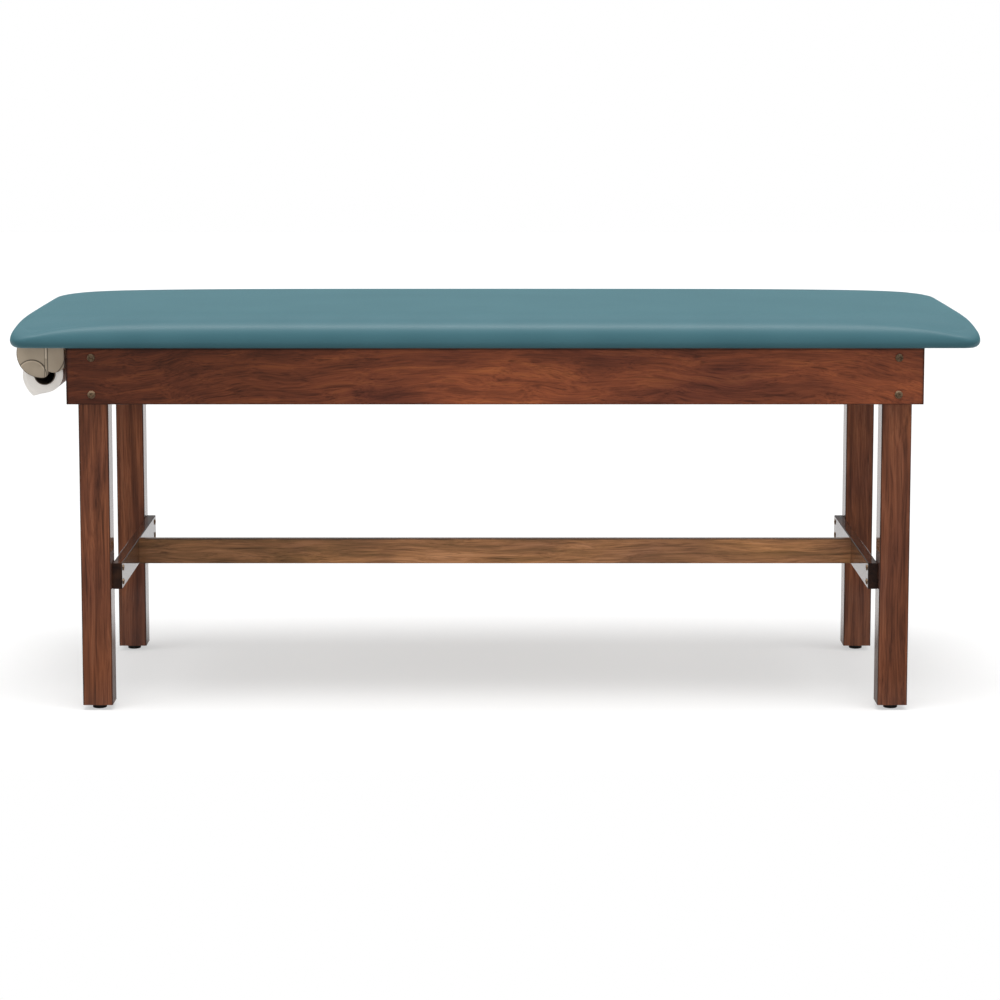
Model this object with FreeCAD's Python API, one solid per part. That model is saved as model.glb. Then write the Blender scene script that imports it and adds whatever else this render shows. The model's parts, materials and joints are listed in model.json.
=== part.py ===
import FreeCAD
import Part
import math
import os

# Wooden examination table: upholstered top on a bolted hardwood frame with an H brace,
# levelling glides under the legs and a paper-roll holder under the head-end overhang.
# Millimetres. X runs along the table with the head end at -X, the front is -Y, Z is up from the floor.

Vec = FreeCAD.Vector

# Upholstered top
top_length = 1829.0
top_width = 686.0
top_thickness = 61.0
underside_height = 701.0
bulge_height = 13.5
side_lean = 5.0
edge_run = 14.0
edge_drop = 14.0
side_crown = 14.8
side_crown_run = 27.5
end_crown = 8.8
end_crown_run = 40.0
crown_reach = 0.95
roll_steps = 3
edge_steps = 3
crown_steps = 5
corner_radius = 34.0
corner_sweep_along = 420.0
corner_sweep_across = 100.0
corner_sweep_power = 1.5
cover_thickness = 1.2
cover_margin = 45.0
deck_thickness = 12.0
deck_inset = 14.0
foam_thickness = 28.0
foam_wadding = 4.0

# Frame
end_overhang = 106.0
side_overhang = 23.0
apron_thickness = 19.0
apron_height = 108.0
apron_edge_radius = 2.5
leg_section = 57.0
leg_edge_radius = 3.0
leg_top_gap = 1.0
cross_rail_height = 62.0
cross_rail_thickness = 19.0
cleat_section = 20.0

# Brace
rail_height = 50.0
rail_thickness = 19.0
rail_bottom = 232.0
rail_overlap = 35.5
rail_edge_radius = 2.0

# Levelling glides
glide_height = 10.0
glide_diameter = 27.0
stud_diameter = 8.0
stud_length = 32.0
stud_hole_spare = 6.0

# Connector bolts
bolt_diameter = 6.0
bolt_head_diameter = 15.0
bolt_face_diameter = 12.6
bolt_head_height = 3.0
rail_bolt_head_diameter = 11.0
rail_bolt_head_height = 1.4
bolt_bite = 26.0
bolt_hole_spare = 4.0
apron_bolt_edge = 19.0
rail_bolt_spacing = 27.0

# Paper roll
roll_axis_drop = 61.0
roll_end_inset = 51.5
roll_width = 457.0
roll_diameter = 71.0
core_bore = 38.0
core_wall = 1.5
core_overhang = 1.0
tail_thickness = 0.4
tail_swell = 7.0
tail_tip = 11.0

# Moulded cheeks that carry the roll
cheek_gap = 3.5
cheek_web = 3.0
cheek_layer = 3.0
cheek_disc_radius = 47.0
cheek_disc_drop = 20.0
cheek_disc_offset = 4.5
cheek_disc_cut = 2.5
cheek_seam = 1.2
cheek_post_width = 36.0
cheek_post_length = 55.5
cheek_post_inner_length = 48.0
cheek_post_outer_length = 45.0
cheek_post_depth = 14.0
cheek_boss_radius = 28.0
cheek_boss_height = 3.0
cheek_boss_offset = 22.5
cheek_boss_rim = 1.5
cheek_hub_radius = 11.9
cheek_hub_offset = 2.0
cheek_hub_reach = 20.0
cheek_hub_proud = 2.0
cheek_flange_thickness = 4.0
cheek_flange_depth = 26.0

# Clearances
bolt_clearance = 0.25
fit_clearance = 0.05
run_clearance = 0.3

# Places that follow from the sizes above
deck_bottom = underside_height + cover_thickness
deck_top = deck_bottom + deck_thickness
apron_bottom = underside_height - apron_height
frame_length = top_length - 2 * end_overhang
frame_width = top_width - 2 * side_overhang
leg_x = frame_length / 2 - apron_thickness - leg_section / 2
leg_y = frame_width / 2 - apron_thickness - leg_section / 2
leg_top = underside_height - leg_top_gap
rail_x = leg_x - leg_section / 2 - rail_thickness / 2
rail_mid = rail_bottom + rail_height / 2
rail_length = 2 * (leg_y - leg_section / 2 + rail_overlap)
rail_bolt_y = rail_length / 2 - rail_overlap / 2
stretcher_length = 2 * (rail_x - rail_thickness / 2)
apron_bolt_levels = (apron_bottom + apron_bolt_edge, underside_height - apron_bolt_edge)
rail_bolt_levels = (rail_mid - rail_bolt_spacing / 2, rail_mid + rail_bolt_spacing / 2)
cleat_y = frame_width / 2 - apron_thickness - cleat_section / 2
roll_x = -top_length / 2 + roll_end_inset
roll_z = underside_height - roll_axis_drop
hub_play = core_bore / 2 - run_clearance - cheek_hub_radius
hub_z = roll_z + math.sqrt(hub_play ** 2 - cheek_hub_offset ** 2)
cheek_inner = roll_width / 2 + cheek_gap
cheek_skin = cheek_inner + cheek_web
cheek_face = cheek_skin + cheek_layer
cheek_split = roll_x + cheek_disc_cut
flange_bottom = underside_height - cheek_flange_thickness

UP = Vec(0, 0, 1)
ALONG = Vec(1, 0, 0)
ACROSS = Vec(0, 1, 0)
LEGS = {
    "front_left": (-1, -1),
    "front_right": (1, -1),
    "rear_left": (-1, 1),
    "rear_right": (1, 1),
}


# Helpers
def about(middle, size):
    return (middle - size / 2, middle + size / 2)


def block(x_range, y_range, z_range):
    low = [min(r) for r in (x_range, y_range, z_range)]
    size = [abs(r[1] - r[0]) for r in (x_range, y_range, z_range)]
    return Part.makeBox(size[0], size[1], size[2], Vec(low[0], low[1], low[2]))


def rod(start, direction, diameter, length):
    return Part.makeCylinder(diameter / 2, length, start, direction)


def edges_at(shape, level):
    """Edges that lie flat at one height."""
    return [e for e in shape.Edges if abs(e.BoundBox.ZMax - level) + abs(e.BoundBox.ZMin - level) < 1e-5]


def ease(shape, radius, axis, edges=None):
    """Round the straight edges that run along the axis, out of those given or of the whole shape."""
    picked = []
    for edge in edges or shape.Edges:
        ends = [v.Point for v in edge.Vertexes]
        if len(ends) == 2 and abs((ends[1] - ends[0]).normalize().dot(axis)) > 0.999:
            picked.append(edge)
    return shape.makeFillet(radius, picked)


def arc(start, middle, end):
    return Part.Arc(start, middle, end).toShape()


def group(solids):
    return Part.makeCompound(solids)


def save(name, shape):
    shape.exportStep("parts/%s.step" % name)


# Upholstered top: level contours from the underside to the crown
def crown_inset(crown, run, height):
    """Inset from the widest line at one height, where the crown falls by a given height and run.

    The side leans in to a shoulder, the edge bends over from there to the rim, and the crown levels out.
    """
    rim = top_thickness - crown
    if height >= rim:
        return side_lean + edge_run - run * math.log((top_thickness - height) / crown)
    fold = rim - edge_run * crown / run
    shoulder = fold - edge_drop
    if height <= shoulder:
        return side_lean * max(height - bulge_height, 0) / (shoulder - bulge_height)
    bend = rim - 2 * fold + shoulder
    slope = 2 * (rim - fold)
    share = 2 * (rim - height) / (slope + math.sqrt(slope ** 2 - 4 * bend * (rim - height)))
    return side_lean + edge_run * (1 - share) ** 2


def corner_sweep(height):
    """Reach of the drawn-down corner along and across the top at one height over the underside."""
    rim = top_thickness - side_crown
    along = min(max((height - bulge_height) / (rim - bulge_height), 0), 1) ** corner_sweep_power
    across = max((height - bulge_height) / (top_thickness - bulge_height), 0) ** corner_sweep_power
    return (corner_radius + (corner_sweep_along - corner_radius) * along,
            corner_radius + (corner_sweep_across - corner_radius) * across)


def contour(end_inset, side_inset, sweep, height):
    """Rectangle of the top at one height, with corners that sweep round as quarters of an ellipse."""
    half_x = top_length / 2 - end_inset
    half_y = top_width / 2 - side_inset
    along, across = sweep
    level = underside_height + height
    edges = []
    spots = []
    for sx, sy, turn in ((1, -1, -90), (1, 1, 0), (-1, 1, 90), (-1, -1, 180)):
        centre = Vec(sx * (half_x - along), sy * (half_y - across), level)
        oval = Part.Ellipse(centre, along, across) if along > across else Part.Circle(centre, UP, along)
        corner = oval.toShape(math.radians(turn), math.radians(turn + 90))
        spots.append((corner.valueAt(corner.FirstParameter), corner.valueAt(corner.LastParameter)))
        edges.append(corner)
    wire = []
    for i, corner in enumerate(edges):
        wire.append(corner)
        wire.append(Part.makeLine(spots[i][1], spots[(i + 1) % 4][0]))
    return Part.Wire(wire)


def crown_contour(height, wadding=0.0, least=0.0):
    """Contour at one height, or of what lies under a wadding of some thickness there."""
    level = height + wadding
    end_inset = max(crown_inset(end_crown, end_crown_run, level) + wadding, least)
    side_inset = max(crown_inset(side_crown, side_crown_run, level) + wadding, least)
    return contour(end_inset, side_inset, corner_sweep(level), height)


def top_body():
    wires = []
    for step in range(roll_steps):
        angle = math.radians(90 * step / roll_steps)
        inset = bulge_height * (1 - math.sin(angle))
        sweep = (corner_radius - inset, corner_radius - inset)
        wires.append(contour(inset, inset, sweep, bulge_height * (1 - math.cos(angle))))
    rim = top_thickness - side_crown
    shoulder = rim - edge_run * side_crown / side_crown_run - edge_drop
    levels = [bulge_height]
    levels += [shoulder + (rim - shoulder) * step / edge_steps for step in range(edge_steps + 1)]
    levels += [rim + side_crown * crown_reach * (step + 1) / crown_steps for step in range(crown_steps)]
    return Part.makeLoft(wires + [crown_contour(level) for level in levels], True, True)


def panel(inset, bottom, top, radius):
    """Board with rounded corners, set in from the widest line of the top."""
    board = block(about(0, top_length - 2 * inset), about(0, top_width - 2 * inset), (bottom, top))
    return ease(board, radius, UP)


def deck():
    return panel(deck_inset, deck_bottom, deck_top, corner_radius)


def foam():
    """Slab of foam on the deck, cut to the sweep of the cover, whose wadding makes up the crown over it."""
    height = deck_top + foam_thickness - underside_height
    return Part.Face(crown_contour(height, foam_wadding, deck_inset)).extrude(UP * -foam_thickness)


def cover():
    """Wadded cover, wrapped over the foam and the deck and turned under as a stapled margin."""
    window = panel(deck_inset + cover_margin, underside_height - 1, deck_bottom, corner_radius)
    return top_body().cut(window).cut(deck()).cut(foam())


# Connector bolts: points where the heads seat and the directions of the shanks
def apron_bolt_seats(sx, sy):
    return [(Vec(sx * leg_x, sy * frame_width / 2, level), Vec(0, -sy, 0)) for level in apron_bolt_levels]


def rail_bolt_seats(sx, sy):
    return [(Vec(sx * (rail_x - rail_thickness / 2), sy * rail_bolt_y, level), Vec(sx, 0, 0))
            for level in rail_bolt_levels]


def bolt_head(seat, way):
    return Part.makeCone(bolt_head_diameter / 2, bolt_face_diameter / 2, bolt_head_height, seat, way * -1)


def rail_bolt_head(seat, way):
    return rod(seat, way * -1, rail_bolt_head_diameter, rail_bolt_head_height)


def bolt(seat, way, board):
    """Bolt whose shank runs through a board and bites into the leg behind it."""
    shank = rod(seat, way, bolt_diameter, board + bolt_bite)
    return bolt_head(seat, way).fuse(shank).removeSplitter()


def clear_hole(seat, way, board):
    return rod(seat, way, bolt_diameter + 2 * bolt_clearance, board)


def tapped_hole(seat, way, board):
    return rod(seat + way * board, way, bolt_diameter + 2 * fit_clearance, bolt_bite + bolt_hole_spare)


def apron_bolts(sy):
    seats = apron_bolt_seats(-1, sy) + apron_bolt_seats(1, sy)
    return group([bolt(seat, way, apron_thickness) for seat, way in seats])


# Frame members
def side_apron(sy):
    y = sy * (frame_width - apron_thickness) / 2
    board = block(about(0, frame_length), about(y, apron_thickness), (apron_bottom, underside_height))
    board = ease(board, apron_edge_radius, ALONG, edges_at(board, apron_bottom))
    seats = apron_bolt_seats(-1, sy) + apron_bolt_seats(1, sy)
    return board.cut(group([clear_hole(seat, way, apron_thickness) for seat, way in seats]))


def cross_board(x, thickness, height):
    """Board between the side aprons, with its lower edges rounded."""
    board = block(about(x, thickness), about(0, frame_width - 2 * apron_thickness),
                  (underside_height - height, underside_height))
    return ease(board, apron_edge_radius, ACROSS, edges_at(board, underside_height - height))


def end_apron(sx):
    return cross_board(sx * (frame_length - apron_thickness) / 2, apron_thickness, apron_height)


def cross_rail():
    return cross_board(0, cross_rail_thickness, cross_rail_height)


def deck_cleat(sy):
    """Two battens inside a side apron, one each side of the cross rail."""
    inner = cross_rail_thickness / 2
    outer = leg_x - leg_section / 2
    return group([block((half * inner, half * outer), about(sy * cleat_y, cleat_section),
                        (underside_height - cleat_section, underside_height)) for half in (-1, 1)])


def leg(sx, sy):
    post = block(about(sx * leg_x, leg_section), about(sy * leg_y, leg_section), (glide_height, leg_top))
    post = ease(post, leg_edge_radius, UP)
    holes = [tapped_hole(seat, way, apron_thickness) for seat, way in apron_bolt_seats(sx, sy)]
    holes.append(rod(Vec(sx * leg_x, sy * leg_y, glide_height), UP, stud_diameter + 2 * run_clearance,
                     stud_length + stud_hole_spare))
    return post.cut(group(holes))


# Brace
def end_rail(sx):
    """End rail of the brace with the heads of the bolts that hold it to the legs."""
    board = block(about(sx * rail_x, rail_thickness), about(0, rail_length),
                  (rail_bottom, rail_bottom + rail_height))
    board = ease(board, rail_edge_radius, ACROSS)
    seats = rail_bolt_seats(sx, -1) + rail_bolt_seats(sx, 1)
    return board.multiFuse([rail_bolt_head(seat, way) for seat, way in seats])


def stretcher():
    board = block(about(0, stretcher_length), about(0, rail_thickness),
                  (rail_bottom, rail_bottom + rail_height))
    return ease(board, rail_edge_radius, ALONG)


# Levelling glide: moulded foot on a threaded stud
def glide(sx, sy):
    base = Vec(sx * leg_x, sy * leg_y, 0)
    foot = rod(base, UP, glide_diameter, glide_height - run_clearance)
    return foot.fuse(rod(base, UP, stud_diameter, glide_height + stud_length)).removeSplitter()


# Paper-roll holder
def slab(face, sy, near, far):
    """Extrude a face drawn in the XZ plane between two distances from the table's middle line."""
    placed = face.copy()
    placed.translate(Vec(0, sy * near, 0))
    return placed.extrude(Vec(0, sy * (far - near), 0))


def disc_face(shrink):
    """Cheek plate: a disc cut off straight by the post on one side and by the flange above."""
    centre = Vec(roll_x - cheek_disc_offset, 0, underside_height - cheek_disc_drop)
    radius = cheek_disc_radius - shrink
    right = cheek_split - shrink
    rise = flange_bottom - shrink - centre.z
    run = right - centre.x
    top_left = centre + Vec(-math.sqrt(radius ** 2 - rise ** 2), 0, rise)
    top_right = centre + Vec(run, 0, rise)
    low_right = centre + Vec(run, 0, -math.sqrt(radius ** 2 - run ** 2))
    belly = centre + Vec(-radius, 0, -radius) * math.sqrt(0.5)
    return Part.Face(Part.Wire([Part.makeLine(top_left, top_right), Part.makeLine(top_right, low_right),
                                arc(low_right, belly, top_left)]))


def post_face():
    """Hanging post whose lower end is rounded and runs up towards the table's middle."""
    left = cheek_split + cheek_seam
    right = left + cheek_post_width
    low = Vec(left + 0.36 * cheek_post_width, 0, underside_height - cheek_post_length)
    low_left = Vec(left, 0, underside_height - cheek_post_inner_length)
    low_right = Vec(right, 0, underside_height - cheek_post_outer_length)
    return Part.Face(Part.Wire([
        Part.makeLine(Vec(left, 0, flange_bottom), low_left),
        arc(low_left, low, low_right),
        Part.makeLine(low_right, Vec(right, 0, flange_bottom)),
        Part.makeLine(Vec(right, 0, flange_bottom), Vec(left, 0, flange_bottom))]))


def boss_face():
    """Round boss beside the hub, kept inside the rim of the plate."""
    centre = Vec(roll_x - cheek_boss_offset, 0, roll_z)
    ring = Part.Face(Part.Wire(Part.makeCircle(cheek_boss_radius, centre, ACROSS)))
    return ring.common(disc_face(cheek_boss_rim)).Faces[0]


def cheek(sy):
    """Moulded cheek: plate with boss and hub, thick post and screw flange."""
    plate = slab(disc_face(0), sy, cheek_inner, cheek_face)
    boss = slab(boss_face(), sy, cheek_face, cheek_face + cheek_boss_height)
    post = slab(post_face(), sy, cheek_inner, cheek_inner + cheek_post_depth)
    web = block((cheek_split - cheek_web, cheek_split + cheek_seam + cheek_web),
                (sy * cheek_inner, sy * cheek_skin),
                (underside_height - cheek_post_outer_length, flange_bottom))
    hub_reach = cheek_hub_reach + cheek_web + cheek_layer + cheek_boss_height + cheek_hub_proud
    hub = rod(Vec(roll_x - cheek_hub_offset, sy * (cheek_inner - cheek_hub_reach), hub_z), ACROSS * sy,
              2 * cheek_hub_radius, hub_reach)
    flange = block((roll_x - cheek_disc_offset - cheek_disc_radius + cheek_web,
                    cheek_split + cheek_seam + cheek_post_width),
                   (sy * cheek_inner, sy * (cheek_inner + cheek_flange_depth)),
                   (flange_bottom, underside_height))
    return plate.multiFuse([boss, post, web, hub, flange]).removeSplitter()


def tube(outside, bore, length):
    """Tube round the roll's axis, centred on the table's middle line."""
    start = Vec(roll_x, -length / 2, roll_z)
    return rod(start, ACROSS, outside, length).cut(rod(start, ACROSS, bore, length))


def paper_roll():
    return tube(roll_diameter, core_bore + 2 * core_wall + 2 * fit_clearance, roll_width)


def roll_core():
    return tube(core_bore + 2 * core_wall, core_bore, roll_width + 2 * core_overhang)


def around(angle, radius):
    """Point at an angle round the roll's axis, counted from +X towards +Z."""
    turn = math.radians(angle)
    return Vec(roll_x + radius * math.cos(turn), -roll_width / 2, roll_z + radius * math.sin(turn))


def tail_line(radius, fold):
    """Arcs of the loose end: off the roll, out past it, down to a fold and back under the roll."""
    leave = around(120, radius)
    out = around(205, radius + tail_swell)
    tip = around(242, fold)
    return [arc(around(90, radius), around(105, radius), leave),
            arc(leave, around(165, radius + 0.75 * tail_swell), out),
            arc(out, around(228, radius + 1.35 * tail_swell), tip),
            arc(tip, around(257, radius + 0.33 * tail_tip), around(276, radius))]


def paper_tail():
    inside = roll_diameter / 2 + fit_clearance
    outside = inside + tail_thickness
    fold = outside + tail_tip
    inner = tail_line(inside, fold - 3 * tail_thickness)
    outer = tail_line(outside, fold)
    ends = [Part.makeLine(around(angle, inside), around(angle, outside)) for angle in (90, 276)]
    wire = Part.Wire(Part.__sortEdges__(inner + outer + ends))
    return Part.Face(wire).extrude(ACROSS * roll_width)


def main():
    os.makedirs("parts", exist_ok=True)
    save("upholstered_cover", cover())
    save("foam_slab", foam())
    save("top_deck", deck())
    for name, sy in (("front", -1), ("rear", 1)):
        save("side_apron_" + name, side_apron(sy))
        save("apron_bolts_" + name, apron_bolts(sy))
        save("deck_cleat_" + name, deck_cleat(sy))
        save("roll_cheek_" + name, cheek(sy))
    for name, sx in (("head", -1), ("foot", 1)):
        save("end_apron_" + name, end_apron(sx))
        save("brace_rail_" + name, end_rail(sx))
    save("cross_rail", cross_rail())
    save("brace_stretcher", stretcher())
    for name, (sx, sy) in LEGS.items():
        save("leg_" + name, leg(sx, sy))
        save("glide_" + name, glide(sx, sy))
    save("paper_roll", paper_roll())
    save("roll_core", roll_core())
    save("paper_tail", paper_tail())


main()
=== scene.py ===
"""Examination table: padded vinyl top, lacquered hardwood frame, levelling glides and a paper-roll holder.

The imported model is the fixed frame. Each class below dresses the frame's pieces of one sub-assembly and models
what is too soft or too fine for them, in metres, with X along the table, -Y to the front and Z up.
"""

import json
import logging
import math
from collections.abc import Callable, Iterator
from contextlib import contextmanager
from dataclasses import dataclass
from enum import Enum
from typing import Any

import bmesh
import bpy
from mathutils import Matrix, Vector, noise

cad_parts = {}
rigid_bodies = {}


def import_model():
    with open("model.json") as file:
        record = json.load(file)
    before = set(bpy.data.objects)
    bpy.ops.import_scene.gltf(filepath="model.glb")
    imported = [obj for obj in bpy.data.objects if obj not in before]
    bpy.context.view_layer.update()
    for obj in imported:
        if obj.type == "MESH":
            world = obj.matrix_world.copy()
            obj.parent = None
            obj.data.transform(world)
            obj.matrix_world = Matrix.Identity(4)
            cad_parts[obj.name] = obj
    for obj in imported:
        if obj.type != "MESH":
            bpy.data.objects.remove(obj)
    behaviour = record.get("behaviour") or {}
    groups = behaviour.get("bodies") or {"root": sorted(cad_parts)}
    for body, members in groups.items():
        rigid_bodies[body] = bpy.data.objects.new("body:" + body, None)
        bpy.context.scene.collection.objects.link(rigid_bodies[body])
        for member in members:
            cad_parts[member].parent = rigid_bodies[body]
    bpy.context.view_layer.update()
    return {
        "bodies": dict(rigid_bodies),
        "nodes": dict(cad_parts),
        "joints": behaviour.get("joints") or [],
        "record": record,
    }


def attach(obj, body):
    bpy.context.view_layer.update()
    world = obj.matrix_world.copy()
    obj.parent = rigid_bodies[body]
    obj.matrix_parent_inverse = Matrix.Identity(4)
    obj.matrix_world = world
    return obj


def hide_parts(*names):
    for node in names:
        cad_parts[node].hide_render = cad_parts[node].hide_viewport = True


log = logging.getLogger("examination_table")
MM = 0.001
QUARTER_TURN = math.pi / 2
# Sockets of Blender's Mix node: factor, two numbers, two colours, and the colour that comes out.
FACTOR, NUMBER_A, NUMBER_B, COLOUR_A, COLOUR_B, COLOUR_OUT = 0, 2, 3, 6, 7, 2
# A wave texture of scale 1 repeats after this many metres.
WAVE_REPEAT = 0.314
SIDES = {"front": -1, "rear": 1}
ENDS = {"head": -1, "foot": 1}
LEGS = {"front_left": (-1, -1), "front_right": (1, -1), "rear_left": (-1, 1), "rear_right": (1, 1)}


def linear(hex_colour: str) -> tuple[float, float, float, float]:
    """Turn an sRGB hex value into a linear colour.

    Args:
        hex_colour: value such as #8a5a3c.

    Returns:
        Linear red, green, blue and alpha.
    """
    parts = [int(hex_colour[i:i + 2], 16) / 255 for i in (1, 3, 5)]
    red, green, blue = (c / 12.92 if c <= 0.04045 else ((c + 0.055) / 1.055) ** 2.4 for c in parts)
    return red, green, blue, 1.0


def drawn_out(length_mm: float, width_mm: float) -> tuple[float, float, float]:
    """Scale of a pattern with one length along X and another across it."""
    return 1 / (length_mm * MM), 1 / (width_mm * MM), 1 / (width_mm * MM)


def add_node(tree: bpy.types.NodeTree, kind: str, links: dict[Any, Any] | None = None,
             values: dict[Any, Any] | None = None, **settings: Any) -> bpy.types.Node:
    """Add a node to a tree.

    Args:
        tree: node tree of a material or of the world.
        kind: Blender's type name of the node.
        links: sockets that feed the inputs, by input name or index.
        values: plain values of other inputs, by input name or index.
        settings: attributes of the node itself.

    Returns:
        The new node.
    """
    node = tree.nodes.new(kind)
    for attribute, value in settings.items():
        setattr(node, attribute, value)
    for socket, value in (values or {}).items():
        node.inputs[socket].default_value = value
    for socket, source in (links or {}).items():
        tree.links.new(source, node.inputs[socket])
    return node


class Element(Enum):
    """Kinds of mesh element that can be picked in edit mode."""

    EDGE = "edges"
    FACE = "faces"


def clear_selection() -> None:
    """Deselect every object, before an operator adds a new one."""
    bpy.ops.object.select_all(action="DESELECT")


def only(piece: bpy.types.Object) -> None:
    """Leave one piece selected and active.

    Args:
        piece: the piece that the next operators act on.
    """
    clear_selection()
    piece.select_set(True)
    bpy.context.view_layer.objects.active = piece


@contextmanager
def editing(piece: bpy.types.Object) -> Iterator[None]:
    """Open one piece alone in edit mode, with nothing selected in it.

    Args:
        piece: the piece to open.
    """
    only(piece)
    bpy.ops.object.mode_set(mode="EDIT")
    bpy.ops.mesh.select_all(action="DESELECT")
    yield
    bpy.ops.object.mode_set(mode="OBJECT")


def pick(piece: bpy.types.Object, element: Element, test: Callable[[Any], bool]) -> None:
    """Select the elements of a piece in edit mode that pass a test.

    Args:
        piece: the piece that is open in edit mode.
        element: edges or faces.
        test: takes one bmesh element and says whether it is wanted.
    """
    bpy.ops.mesh.select_mode(type=element.name)
    bpy.ops.mesh.select_all(action="DESELECT")
    shape = bmesh.from_edit_mesh(piece.data)
    shape.normal_update()
    for item in [item for item in getattr(shape, element.value) if test(item)]:
        item.select_set(True)
    shape.select_flush_mode()
    bmesh.update_edit_mesh(piece.data)


def face_outwards() -> None:
    """Turn all faces of the piece that is open in edit mode outwards."""
    bpy.ops.mesh.select_all(action="SELECT")
    bpy.ops.mesh.normals_make_consistent(inside=False)


def name_piece(name: str) -> bpy.types.Object:
    """Name the active object and its mesh.

    Args:
        name: name of both.

    Returns:
        The object.
    """
    piece = bpy.context.active_object
    piece.name = name
    piece.data.name = name
    return piece


def apply_modifier(piece: bpy.types.Object, kind: str, **settings: Any) -> None:
    """Add a modifier to a piece, set it and apply it.

    Args:
        piece: the piece to change.
        kind: Blender's type name of the modifier.
        settings: attributes of the modifier.
    """
    only(piece)
    modifier = piece.modifiers.new(kind.lower(), kind)
    for attribute, value in settings.items():
        setattr(modifier, attribute, value)
    bpy.ops.object.modifier_apply(modifier=modifier.name)


def copies(master: bpy.types.Object, places: list[Matrix], name: str) -> bpy.types.Object:
    """Copy a master piece to several places and join the copies into one piece.

    Args:
        master: piece modelled at the origin, which is removed afterwards.
        places: where each copy goes.
        name: name of the joined piece.

    Returns:
        The joined piece, with its place in its mesh.
    """
    made = []
    for place in places:
        only(master)
        bpy.ops.object.duplicate()
        copy = bpy.context.active_object
        copy.data.transform(place)
        made.append(copy)
    clear_selection()
    for copy in made:
        copy.select_set(True)
    bpy.context.view_layer.objects.active = made[0]
    bpy.ops.object.join()
    joined = name_piece(name)
    bpy.data.objects.remove(master)
    return joined


def facing(point: Vector, direction: Vector) -> Matrix:
    """Place that turns a master's +Z to a direction and moves its origin to a point."""
    return Matrix.Translation(point) @ direction.to_track_quat("Z", "Y").to_matrix().to_4x4()


def smooth(piece: bpy.types.Object, angle: float) -> None:
    """Shade a piece smooth except over edges sharper than an angle in degrees."""
    only(piece)
    bpy.ops.object.shade_smooth_by_angle(angle=math.radians(angle))


class Grain(Enum):
    """Turn that brings a board's length to the pattern's X axis."""

    ALONG_X = (0.0, 0.0, 0.0)
    ALONG_Y = (0.0, 0.0, math.radians(-90))
    ALONG_Z = (0.0, math.radians(90), 0.0)


@dataclass(frozen=True)
class Finish:
    """A finish with a name, made as a procedural material the first time it is used."""

    name: str

    def material(self) -> bpy.types.Material:
        """Give the material, building its nodes if it isn't there yet.

        Returns:
            The material.
        """
        found = bpy.data.materials.get(self.name)
        if found:
            return found
        material = bpy.data.materials.new(self.name)
        material.use_nodes = True
        tree = material.node_tree
        tree.nodes.clear()
        shader = self.paint(tree)
        add_node(tree, "ShaderNodeOutputMaterial", {"Surface": shader.outputs["BSDF"]})
        return material

    def paint(self, tree: bpy.types.NodeTree) -> bpy.types.Node:
        """Build the nodes and give the shader node; each finish has its own."""
        raise NotImplementedError

    def put_on(self, *pieces: bpy.types.Object) -> None:
        """Give this finish to pieces as their only material.

        Args:
            pieces: new pieces or pieces of the frame.
        """
        for piece in pieces:
            piece.data.materials.clear()
            piece.data.materials.append(self.material())


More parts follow.
